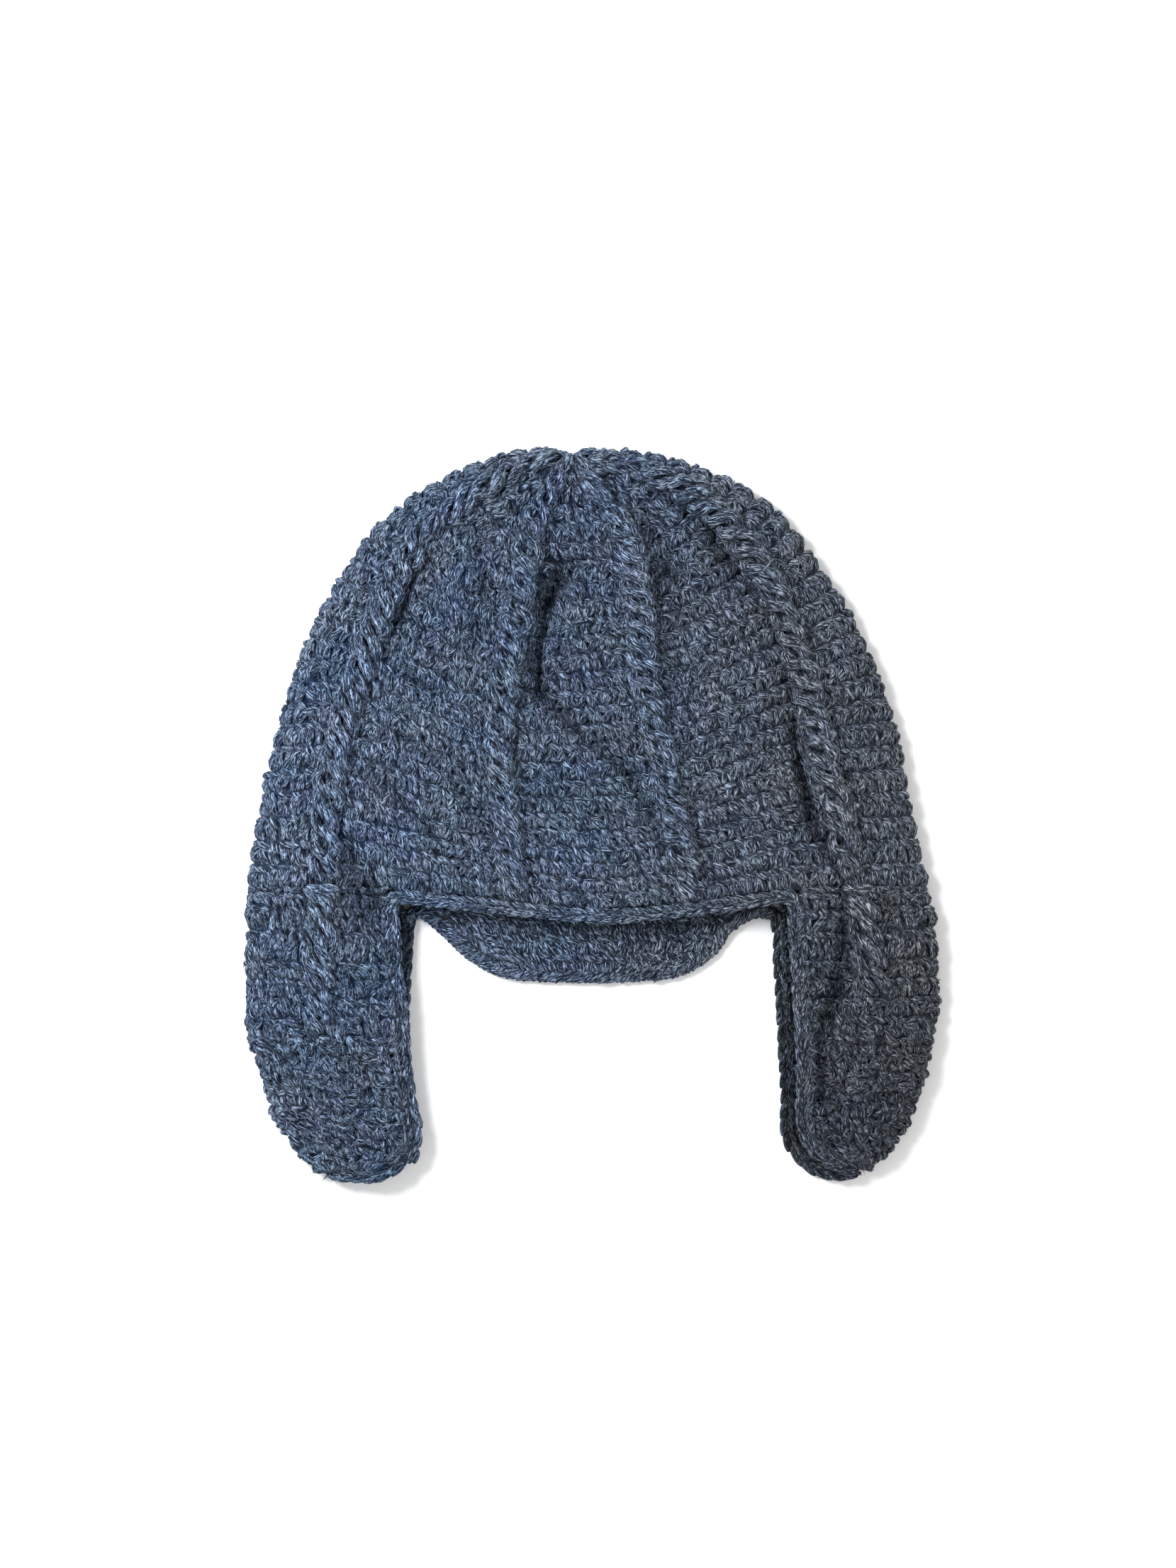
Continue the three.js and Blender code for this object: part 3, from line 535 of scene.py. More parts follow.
def make_mesh(name, verts, faces, uvs=None, tones=None, material=None, smooth=True):
    """verts in mm before the shift; faces (n, 3) or (n, 4)."""
    v = verts + SHIFT
    v[:, 2] = np.maximum(v[:, 2], 0.03)
    mesh = bpy.data.meshes.new(name)
    n, c = faces.shape
    mesh.vertices.add(len(v))
    mesh.vertices.foreach_set("co", (v / 1000).astype(np.float32).ravel())
    mesh.loops.add(n * c)
    mesh.loops.foreach_set("vertex_index", faces.astype(np.int32).ravel())
    mesh.polygons.add(n)
    mesh.polygons.foreach_set("loop_start", (np.arange(n) * c).astype(np.int32))
    mesh.update(calc_edges=True)
    if smooth:
        mesh.polygons.foreach_set("use_smooth", np.ones(n, bool))
    if uvs is not None:
        layer = mesh.uv_layers.new(name="yarn")
        layer.data.foreach_set("uv", uvs.astype(np.float32).ravel())
    if tones is not None:
        mesh.attributes.new("tone", "FLOAT", "POINT").data.foreach_set("value", tones.astype(np.float32))
    obj = bpy.data.objects.new(name, mesh)
    bpy.context.scene.collection.objects.link(obj)
    if material:
        mesh.materials.append(material)
    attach(obj, "root")
    return obj


def yarn_object(name, yarn, material):
    v, f, uv, tone = yarn.arrays()
    return make_mesh(name, v, f, uv, tone, material)


# A strand in one stitch: from (a0, b0) to (a1, b1), a along the row in stitch widths, b down the cloth in row heights,
# how high it starts, rises and ends, its thickness, and how much it bows sideways.
def strand(a0, b0, a1, b1, n0, n1, n2, r, bow=0.0):
    return dict(a0=a0, b0=b0, a1=a1, b1=b1, n0=n0, n1=n1, n2=n2, r=r, bow=bow)


TOP_LOOP = strand(-0.60, 0.00, 0.56, 0.28, -0.7, 1.90, -0.7, 1.46)
STEEP_LOOP = strand(-0.46, -0.04, 0.48, 0.48, -0.7, 2.10, -0.7, 1.48, 0.08)
LOW_LOOP = strand(-0.56, 0.02, 0.54, 0.20, -0.6, 1.30, -0.7, 1.34)
LEG_A = strand(-0.46, 0.22, 0.08, 0.98, -0.1, 1.50, -0.9, 1.34, 0.10)
LEG_B = strand(0.02, 0.22, 0.52, 0.98, -0.1, 1.50, -0.9, 1.34, -0.06)
V_LEFT = strand(-0.52, 0.10, -0.04, 0.97, -0.2, 1.80, -0.9, 1.34, -0.08)
V_MID = strand(-0.04, 0.04, 0.02, 0.95, -0.2, 1.70, -0.9, 1.24, 0.0)
V_RIGHT = strand(0.54, 0.10, 0.06, 0.97, -0.2, 1.85, -0.9, 1.34, 0.08)
PLAIN = (TOP_LOOP, LEG_A, LEG_B)
STEEP = (STEEP_LOOP, LEG_A, LEG_B)
VEE = (TOP_LOOP, V_LEFT, V_RIGHT)
FAN = (LOW_LOOP, V_LEFT, V_MID, V_RIGHT)
UNDERSIDE = (
    strand(-0.60, -0.05, 0.60, 0.25, -0.5, 1.5, -0.5, 1.50),
    strand(-0.40, 0.24, 0.08, 1.06, -0.2, 1.15, -0.4, 1.46, 0.08),
    strand(0.10, 0.24, 0.54, 1.06, -0.2, 1.15, -0.4, 1.46, -0.08),
)
MOSS = (
    strand(-0.50, -0.08, 0.34, 0.44, -0.5, 1.9, -0.3, 1.52, 0.10),
    strand(0.54, 0.02, -0.16, 0.60, -0.5, 1.5, -0.5, 1.42, 0.10),
    strand(-0.50, 0.40, 0.16, 1.00, -0.5, 1.7, -0.4, 1.48, -0.08),
    strand(0.04, 0.44, 0.56, 1.02, -0.5, 1.5, -0.5, 1.42, 0.08),
)


def wander(l, row, scale, seed):
    """Slow sideways drift along a row, nearly the same on neighbouring rows, between about -1 and 1."""
    out = np.zeros_like(l)
    for k, f in enumerate((1.0, 1.9, 3.3)):
        out += np.sin(l / scale * f + row * (0.42 + 0.2 * k) + seed * (1.7 + k)) / (1.4 + k)
    return out / 1.6


def spread(total, n, row, seed):
    """n stitch positions along a row, not quite evenly spaced."""
    l = (np.arange(n) + 0.5 + 0.37 * row) * total / n
    return l + 0.75 * wander(l, row, 6.5, seed + 3)


def painted_shade_depth(p, n):
    """Depth of painted shade at a point of the cloth, in mm of crease: along the creases, and a little on the left
    fold.
    """
    return creases(p[:, 0], p[:, 1]) * (n[:, 2] > 0.3) + 2.6 * np.clip(1 - n[:, 2], 0, 1) * np.clip(-p[:, 0] / 60, 0, 1) * (n[:, 2] > -0.3)


def lay(yarn, cloth, t, dt, l, width, kinds, arc, rings=6, sides=6, rough=1.0, lean=None, seed=0.0, thick=1.0, drift=0.06, mirror=1, slide=None):
    """Lays the strands of one row. l: where along the row each stitch stands."""
    total = arc[-1]
    k = len(l)
    if not k:
        return
    s = np.linspace(0, 1, rings)
    hump = np.sin(np.pi * s) ** 0.75
    cols = np.arange(cloth.cols)
    qc = np.interp(np.mod(l, total) if cloth.closed else np.clip(l, 0, total), arc, cols)
    high = cloth.high(t, dt, qc)
    size = np.clip((high / 6.6) ** 0.6, 0.55, 1.12)  # thinner where the rounds crowd together
    turn = rng.normal(0, 0.15 * rough, k)
    da, db = rng.normal(0, 0.08 * rough, k), rng.normal(0, 0.035 * rough, k)
    db = db + drift * wander(l, t / dt, 9.0, seed)
    lift = rng.normal(0, 0.26 * rough, k)
    tone = rng.random(k)
    for q in kinds:
        n = q["n0"] + (q["n2"] - q["n0"]) * s + q["n1"] * hump
        bow = q["bow"] + rng.normal(0, 0.06 * rough, k)
        a = (q["a0"] + (q["a1"] - q["a0"]) * s[None] + bow[:, None] * np.sin(np.pi * s)[None]) * width * mirror
        b = (q["b0"] + (q["b1"] - q["b0"]) * s)[None] * high[:, None]
        own = rng.normal(0, 0.14 * rough, k)
        mid_a, mid_b = a.mean(1, keepdims=True), b.mean(1, keepdims=True)
        th = (turn + own)[:, None]
        if lean is not None:
            th = th + lean[:, None]
        aa = mid_a + (a - mid_a) * np.cos(th) - (b - mid_b) * np.sin(th)
        bb = mid_b + (b - mid_b) * np.cos(th) + (a - mid_a) * np.sin(th)
        aa = aa + (da + rng.normal(0, 0.05 * rough, k))[:, None] * width
        bb = bb / high[:, None] + (db + rng.normal(0, 0.025 * rough, k))[:, None]
        ll = l[:, None] + aa
        past = 0.0
        if cloth.closed:
            ll = np.mod(ll, total)
        else:  # strands may stand out past a free border by a little
            kept = np.clip(ll, 0.3, total - 0.3)
            past = np.clip(ll - kept, -1.1, 1.1)
            ll = kept
        qq = np.interp(ll, arc, cols)
        want = t + bb * dt
        if slide is not None:
            want = want + slide(want, qq)
        tt = np.clip(want, cloth.rows[0], cloth.rows[-1])
        p, nn = cloth.at(tt, qq)
        if np.abs(want - tt).max() > 0:  # and past the first and last row
            down = cloth.at(np.clip(tt + 0.01, cloth.rows[0], cloth.rows[-1]), qq)[0] - cloth.at(np.clip(tt - 0.01, cloth.rows[0], cloth.rows[-1]), qq)[0]
            far = np.clip((want - tt) / dt * high[:, None], -1.3, 1.3)
            p = p + down / (np.linalg.norm(down, axis=-1, keepdims=True) + 1e-9) * far[..., None]
        if not cloth.closed and np.abs(past).max() > 0:
            way = cloth.at(tt, qq + 0.4)[0] - cloth.at(tt, qq - 0.4)[0]
            p = p + way / (np.linalg.norm(way, axis=-1, keepdims=True) + 1e-9) * past[..., None]
        nh = n[None] * (thick * size)[:, None] + (lift + rng.normal(0, 0.2 * rough, k))[:, None] * hump[None]
        p = p + nn * nh[..., None]
        # painted shade: strands in creases and on the left fold get a darker tone
        tone_with_painted_shade = np.clip(0.6 * tone + 0.4 * rng.random(k), 0, 1) - 0.24 * painted_shade_depth(p[:, rings // 2], nn[:, rings // 2])
        yarn.add(p, nn, thick * size * q["r"] * (1 + rng.normal(0, 0.08, k)), sides=sides, tone=tone_with_painted_shade)


# ------------------------------------------------------------------ materials
def by_place(nt, colour):
    """Slow changes over the cap: patches of bluer and greyer yarn, and painted light: greyer and darker towards the
    right side, darker still on the right earflap and towards the bottom, lighter towards the left.
    """
    new, link = nt.nodes.new, nt.links.new

    def noise(scale, detail, shift):
        n = new("ShaderNodeTexNoise")
        n.inputs["Scale"].default_value = scale
        n.inputs["Detail"].default_value = detail
        move = new("ShaderNodeMapping")
        move.inputs["Location"].default_value = shift
        link(co.outputs["Object"], move.inputs[0])
        link(move.outputs[0], n.inputs["Vector"])
        return n.outputs["Fac"]

    def span(value, a, b, c, d):
        n = new("ShaderNodeMapRange")
        for key, x in (("From Min", a), ("From Max", b), ("To Min", c), ("To Max", d)):
            n.inputs[key].default_value = x
        link(value, n.inputs["Value"])
        return n.outputs[0]

    def math(op, a, b):
        n = new("ShaderNodeMath")
        n.operation = op
        for i, x in enumerate((a, b)):
            if isinstance(x, float):
                n.inputs[i].default_value = x
            else:
                link(x, n.inputs[i])
        return n.outputs[0]

    co = new("ShaderNodeTexCoord")
    sep = new("ShaderNodeSeparateXYZ")
    link(co.outputs["Object"], sep.inputs[0])
    side = span(sep.outputs["X"], 0.0, 0.125, 0.0, 1.0)
    low = span(sep.outputs["Y"], -0.02, -0.09, 0.0, 1.0)
    patch = span(noise(46.0, 3.0, (0, 0, 0)), 0.36, 0.66, 0.0, 1.0)
    # the greyer patches are the yarn's own; the greying towards the right side is painted light
    grey = math("ADD", math("MULTIPLY", patch, PATCH_GREY), math("MULTIPLY", side, SIDE_PAINTED_GREY))
    # painted shade: darker towards the right side, most on the right earflap
    painted_light_and_shade = math("ADD", math("MULTIPLY", side, SIDE_PAINTED_SHADE), math("MULTIPLY", math("MULTIPLY", side, low), LOW_PAINTED_SHADE))
    # painted light: lighter towards the left
    painted_light_and_shade = math("ADD", painted_light_and_shade, span(sep.outputs["X"], -0.11, -0.03, -0.18, 0.0))
    # painted shade: darker towards the bottom
    painted_light_and_shade = math("ADD", painted_light_and_shade, span(sep.outputs["Y"], -0.07, -0.13, 0.0, 0.12))
    hs = new("ShaderNodeHueSaturation")
    link(span(noise(60.0, 2.0, (3.1, 1.7, 0.4)), 0.35, 0.65, 0.490, 0.508), hs.inputs["Hue"])
    link(math("SUBTRACT", BASE_SAT, grey), hs.inputs["Saturation"])
    link(math("SUBTRACT", 1.0, painted_light_and_shade), hs.inputs["Value"])
    link(colour, hs.inputs["Color"])
    return hs.outputs[0]


# saturation of the yarn, greying of its patches, and strengths of the painted grey and painted shade towards the right
# side and the bottom
BASE_SAT, PATCH_GREY, SIDE_PAINTED_GREY, SIDE_PAINTED_SHADE, LOW_PAINTED_SHADE = 1.17, 0.28, 0.60, 0.28, 0.13


def wool(name, dark, mid, light):
    """Heathered wool: fine fibre streaks along each strand, strand to strand variation and slow patches of greyer yarn,
    with painted shade: greyer and darker towards the right side and the bottom, and darker strands in creases.
    """
    m = bpy.data.materials.new(name)
    m.use_nodes = True
    nt = m.node_tree
    nt.nodes.clear()
    new = nt.nodes.new
    link = nt.links.new

    def noise(vector, scale, detail, rough=0.6, distort=0.0):
        n = new("ShaderNodeTexNoise")
        n.inputs["Scale"].default_value = scale
        n.inputs["Detail"].default_value = detail
        n.inputs["Roughness"].default_value = rough
        n.inputs["Distortion"].default_value = distort
        link(vector, n.inputs["Vector"])
        return n.outputs["Fac"]

    def math(op, a, b):
        n = new("ShaderNodeMath")
        n.operation = op
        for i, x in enumerate((a, b)):
            if isinstance(x, float):
                n.inputs[i].default_value = x
            else:
                link(x, n.inputs[i])
        return n.outputs[0]

    def scaled(vector, scale):
        n = new("ShaderNodeMapping")
        n.inputs["Scale"].default_value = scale
        link(vector, n.inputs[0])
        return n.outputs[0]

    def span(value, a, b, c, d):
        n = new("ShaderNodeMapRange")
        for key, x in (("From Min", a), ("From Max", b), ("To Min", c), ("To Max", d)):
            n.inputs[key].default_value = x
        link(value, n.inputs["Value"])
        return n.outputs[0]

    out = new("ShaderNodeOutputMaterial")
    b = new("ShaderNodeBsdfPrincipled")
    link(b.outputs[0], out.inputs[0])
    b.inputs["Roughness"].default_value = 0.95
    b.inputs["Specular IOR Level"].default_value = 0.12
    b.inputs["Sheen Weight"].default_value = 0.12
    b.inputs["Sheen Roughness"].default_value = 0.6
    b.inputs["Sheen Tint"].default_value = (0.62, 0.74, 1.0, 1)
    uv = new("ShaderNodeUVMap")
    uv.uv_map = "yarn"
    fine = noise(scaled(uv.outputs[0], (0.34, 2.1, 1)), 1.0, 2.0, 0.60, 0.5)
    broad = noise(scaled(uv.outputs[0], (0.25, 0.9, 1)), 1.0, 1.0, 0.5, 0.3)
    streak = math("ADD", math("MULTIPLY", fine, 0.80), math("MULTIPLY", broad, 0.20))
    # painted shade: the streaks darken towards the right side, most on the right earflap with more contrast there, and
    # a little towards the bottom
    co = new("ShaderNodeTexCoord")
    sep = new("ShaderNodeSeparateXYZ")
    link(co.outputs["Object"], sep.inputs[0])
    side = span(sep.outputs["X"], 0.0, 0.125, 0.0, 0.013)
    low = span(sep.outputs["Y"], -0.02, -0.08, 1.0, 2.2)
    wider = math("MULTIPLY", math("SUBTRACT", streak, 0.51), math("MULTIPLY", math("MULTIPLY", side, low), 12.0))
    streak_painted_shade = math("ADD", math("SUBTRACT", streak, math("MULTIPLY", side, low)), wider)
    streak_painted_shade = math("SUBTRACT", streak_painted_shade, math("MULTIPLY", span(sep.outputs["Y"], -0.03, -0.10, 0.0, 1.0), 0.008))
    ramp = new("ShaderNodeValToRGB")
    e = ramp.color_ramp.elements
    e[0].position, e[0].color = 0.44, (*dark, 1)
    e[1].position, e[1].color = 0.60, (*light, 1)
    k = e.new(0.508)
    k.color = (*mid, 1)
    link(streak_painted_shade, ramp.inputs[0])
    worn = by_place(nt, ramp.outputs[0])
    # each strand a little lighter or darker at random, and darker where its tone carries painted shade from a crease or
    # the left fold
    tone = new("ShaderNodeAttribute")
    tone.attribute_name = "tone"
    mul = new("ShaderNodeVectorMath")
    mul.operation = "SCALE"
    link(worn, mul.inputs[0])
    link(span(tone.outputs["Fac"], -1.5, 1.5, 0.36, 1.32), mul.inputs["Scale"])
    link(mul.outputs[0], b.inputs["Base Color"])
    bump = new("ShaderNodeBump")
    bump.inputs["Strength"].default_value = 0.9
    bump.inputs["Distance"].default_value = 0.0007
    link(streak, bump.inputs["Height"])
    link(bump.outputs[0], b.inputs["Normal"])
    return m


def plain_wool(name, colours, by_tone, bump_dist=0.0005):
    """The core sheet under the strands, coloured darker than the yarn as painted shade in the gaps (colours by noise),
    and the loose fibres (colours by each fibre's tone, random and darkened by painted shade in creases).
    """
    m = bpy.data.materials.new(name)
    m.use_nodes = True
    nt = m.node_tree
    b = nt.nodes["Principled BSDF"]
    b.inputs["Roughness"].default_value = 0.95
    b.inputs["Specular IOR Level"].default_value = 0.1
    co = nt.nodes.new("ShaderNodeTexCoord")
    n1 = nt.nodes.new("ShaderNodeTexNoise")
    n1.inputs["Scale"].default_value = 900.0
    n1.inputs["Detail"].default_value = 4
    nt.links.new(co.outputs["Object"], n1.inputs["Vector"])
    ramp = nt.nodes.new("ShaderNodeValToRGB")
    e = ramp.color_ramp.elements
    e[0].position, e[0].color = (0.0 if by_tone else 0.36), (*colours[0], 1)
    e[1].position, e[1].color = (1.0 if by_tone else 0.66), (*colours[2], 1)
    k = e.new(0.45 if by_tone else 0.5)
    k.color = (*colours[1], 1)
    if by_tone:
        tone = nt.nodes.new("ShaderNodeAttribute")
        tone.attribute_name = "tone"
        nt.links.new(tone.outputs["Fac"], ramp.inputs[0])
    else:
        nt.links.new(n1.outputs["Fac"], ramp.inputs[0])
        bp = nt.nodes.new("ShaderNodeBump")
        bp.inputs["Strength"].default_value = 0.8
        bp.inputs["Distance"].default_value = bump_dist
        nt.links.new(n1.outputs["Fac"], bp.inputs["Height"])
        nt.links.new(bp.outputs[0], b.inputs["Normal"])
    nt.links.new(by_place(nt, ramp.outputs[0]), b.inputs["Base Color"])
    return m


def times(k, *colours):
    return [tuple(k * c for c in colour) for colour in colours]


HEATHER = ((0.0026, 0.0053, 0.016), (0.0190, 0.0302, 0.0565), (0.256, 0.332, 0.452))
WOOL = wool("wool_heather", *HEATHER)
WOOL_EDGE = wool("wool_edging", *times(1.04, *HEATHER))
# painted shade: a copy of the wool with darker darks for the nape flap, which lies in the shade of the front hem
WOOL_NAPE_SHADED = wool("wool_nape_painted_shade", *times(0.55, HEATHER[0]), *times(0.54, HEATHER[1]), *times(1.0, HEATHER[2]))
# painted shade: a darker copy of the wool for the back halves' inner strips and the back half's upper braid, in the
# front half's shade
WOOL_SHADE = wool("wool_inner_side_painted_shade", *times(0.42, *HEATHER))
# painted shade: the core sheet stands for yarn under the strands and is coloured darker to paint the shade in the gaps
# between them
CORE_PAINTED_SHADE = plain_wool("wool_core_painted_shade", ((0.006, 0.010, 0.024), (0.015, 0.024, 0.046), (0.048, 0.066, 0.105)), False)
FIBRE = plain_wool("wool_fibre", ((0.014, 0.022, 0.048), (0.085, 0.116, 0.178), (0.30, 0.37, 0.48)), True)
# painted shade: darker fibres for the same strips
FIBRE_SHADE = plain_wool("wool_fibre_inner_side_painted_shade", ((0.010, 0.015, 0.030), (0.05, 0.07, 0.10), (0.16, 0.19, 0.24)), True)

# ------------------------------------------------------------------ crown
crown = crown_cloth()
CABLE_Q_FRONT = [np.interp(s, FRONT_COLS, np.arange(NF)) for s in CABLE_S]
CABLE_Q_BACK = [NF + np.interp(-s, -BACK_COLS, np.arange(NB - 2)) for s in CABLE_S]
FRONT_Q = NF - 1  # columns up to here are the front
dt = 1.0 / ROUND_COUNT
front_a, front_b, back_yarn, cables = Yarn(), Yarn(), Yarn(), Yarn()

# The rounds run down steeply from the first cable to the second, and climb again after the third.
SLIDE = np.concatenate([np.interp(FRONT_COLS, (0, 0.125, 0.25, 0.375, 0.5, 0.625, 0.8, 1), (0, -0.030, -0.004, 0.027, 0.021, 0.010, 0.0, 0.0)), np.zeros(NB - 1)])


def slide(t, q):
    return np.interp(q, np.arange(len(SLIDE)), SLIDE) * np.interp(t, (0.10, 0.35, 0.70, 0.98), (0.0, 1.0, 1.0, 0.0))


for j in range(ROUND_COUNT):
    t = max(0.014, (j + 0.02) * dt)
    arc = crown.arc(t)
    total = arc[-1]
    n = max(6, int(round(total / STITCH)))
    l = spread(total, n, j, 1.0) % total
    q = np.interp(l, arc, np.arange(crown.cols))
    keep = np.ones(n, bool)
    half = 4.4 * min(1, 0.25 + 3.0 * t)
    for c in CABLE_Q_FRONT + CABLE_Q_BACK:
        lc = np.interp(c, np.arange(crown.cols), arc)
        gap = np.abs((l - lc + total / 2) % total - total / 2)
        keep &= gap > half
    x, _ = crown.at(np.full(n, t), q)
    lean = 0.10 * np.sin(x[:, 0] / 21.0 + j * 0.9)
    isfront = (q <= FRONT_Q + 2) | (q >= crown.cols - 3)
    f = keep & isfront
    # legs lie "\\" on the left and in the middle, and open into a V right of the middle
    chance_v = 0.20 + 0.35 * np.clip((x[:, 0] - 20) / 40, 0, 1) * (x[:, 1] > 10)
    pick = rng.random(n)
    which = np.where(pick < chance_v, 2, np.where(pick < chance_v + 0.22, 1, np.where(pick < chance_v + 0.50, 3, 0)))
    target = front_a if j < 17 else front_b
    for w, kinds in enumerate((PLAIN, STEEP, VEE, FAN)):
        g = f & (which == w)
        lay(target, crown, t, dt, l[g], total / n, kinds, arc, rings=5, lean=lean[g], seed=1.0, rough=0.85, slide=slide)
    b = keep & ~isfront
    lay(back_yarn, crown, t, dt, l[b], total / n, UNDERSIDE, arc, rings=4, sides=4, seed=2.0, thick=0.95)

# cables: in each round two long thick strands side by side, lying "\\", over two thinner ones that close the cloth below
CABLE_STRANDS = (
    dict(a=(-5.2, -1.6), b=(0.10, 1.02), n=(-0.8, 1.4, -0.6), r=1.85, bow=-0.2),
    dict(a=(-4.8, 1.1), b=(-0.42, 0.74), n=(0.3, 3.5, -0.4), r=2.20, bow=-0.5),
    dict(a=(-0.9, 4.8), b=(-0.78, 0.46), n=(0.6, 3.9, -0.4), r=2.20, bow=0.3),
    dict(a=(5.6, 2.0), b=(-0.30, 0.70), n=(-0.6, 1.6, -0.5), r=1.95, bow=0.3),
    dict(a=(0.4, 3.6), b=(-0.10, 0.80), n=(-0.6, 0.6, -0.6), r=2.2, bow=0.0),
)


def cable(cloth, q0, t, dt, thin=1.0, seed=0, under=False, flip=1, big=1.0, wide=1.0, move=0.0):
    arc = cloth.arc(t)
    lc = np.interp(q0, np.arange(cloth.cols), arc) + move
    s = np.linspace(0, 1, 8 if not under else 5)
    r2 = np.random.default_rng(int(seed * 1000 + t * 997))
    squeeze = min(1.0, 0.36 + 3.0 * t) if cloth is crown else 1.0
    for i, q in enumerate(CABLE_STRANDS[:3] if under else CABLE_STRANDS):
        lobe = i in (1, 2)
        ja, jb, jn = r2.normal(0, 0.45), r2.normal(0, 0.09), r2.normal(0, 0.45)
        grow = (1 + r2.normal(0, 0.10)) * (big if lobe else 1)
        mid = (q["a"][0] + q["a"][1]) / 2
        a = (mid + (q["a"][0] + (q["a"][1] - q["a"][0]) * s - mid) * grow + q["bow"] * np.sin(np.pi * s) + ja) * squeeze * wide * flip
        b = q["b"][0] + (q["b"][1] - q["b"][0]) * s + jb
        n = (q["n"][0] + (q["n"][2] - q["n"][0]) * s + (q["n"][1] * (big if lobe else 1) + jn) * np.sin(np.pi * s) ** 0.7) * thin
        if cloth is crown and not under:  # flatter where the rounds crowd together near the top
            n = n * (0.62 + 0.38 * min(1.0, t / 0.42))
        lq = lc + a
        lq = np.mod(lq, arc[-1]) if cloth.closed else lq
        qq = np.interp(lq, arc, np.arange(cloth.cols))
        tt = np.clip(t + b * dt, cloth.rows[0], cloth.rows[-1])
        p, nn = cloth.at(tt, qq)
        p = p + nn * n[:, None]
        rad = np.array([q["r"] * (0.62 + 0.38 * squeeze) * (big**0.5 if lobe else 1) * (1 + r2.normal(0, 0.07)) * (0.85 if under else 1)])
        # painted highlight: the two raised lobes get a lighter tone; painted shade: the strands under them the darkest
        # tone
        tone = 0.8 + 0.5 * r2.random() if lobe else 0.0
        cables.add(p[None], nn[None], rad, sides=6 if not under else 4, flat=0.82, tone=np.array([tone]))


for j in range(1, ROUND_COUNT):
    t = (j + 0.02) * dt
    for i, c in enumerate(CABLE_Q_FRONT):
        cable(crown, c, t, dt, seed=i + 1, big=(1.0 + 0.15 * min(1, max(0, (t - 0.45) / 0.1)), 1.08, 1.05, 1.1)[i], move=(0, 0.6, 0, 1.8)[i] * min(1, t * 3))
    for i, c in enumerate(CABLE_Q_BACK):
        cable(crown, c, t, dt, thin=0.5, seed=i + 11, under=True)

# a puckered tuft closes the top
for k in range(26):
    th = rng.random() * 2 * np.pi
    s = np.linspace(0, 1, 7)
    r0, r1 = 0.6 + 1.2 * rng.random(), 5.0 + 3.5 * rng.random()
    c = np.array([-7.7, 142.0, FOLD_HALF + 1.0])
    d = np.array([np.cos(th), -abs(np.sin(th)) * 0.55 + 0.05, 0.8 * np.sin(th)])
    d /= np.linalg.norm(d)
    p = c + np.outer(r0 + (r1 - r0) * s, d) + np.outer(np.sin(np.pi * s) * 0.8, [0, 1, 0.35])
    cables.add(p[None], np.tile([0, 1.0, 0.3], (1, 7, 1)), np.array([1.3]), sides=6)

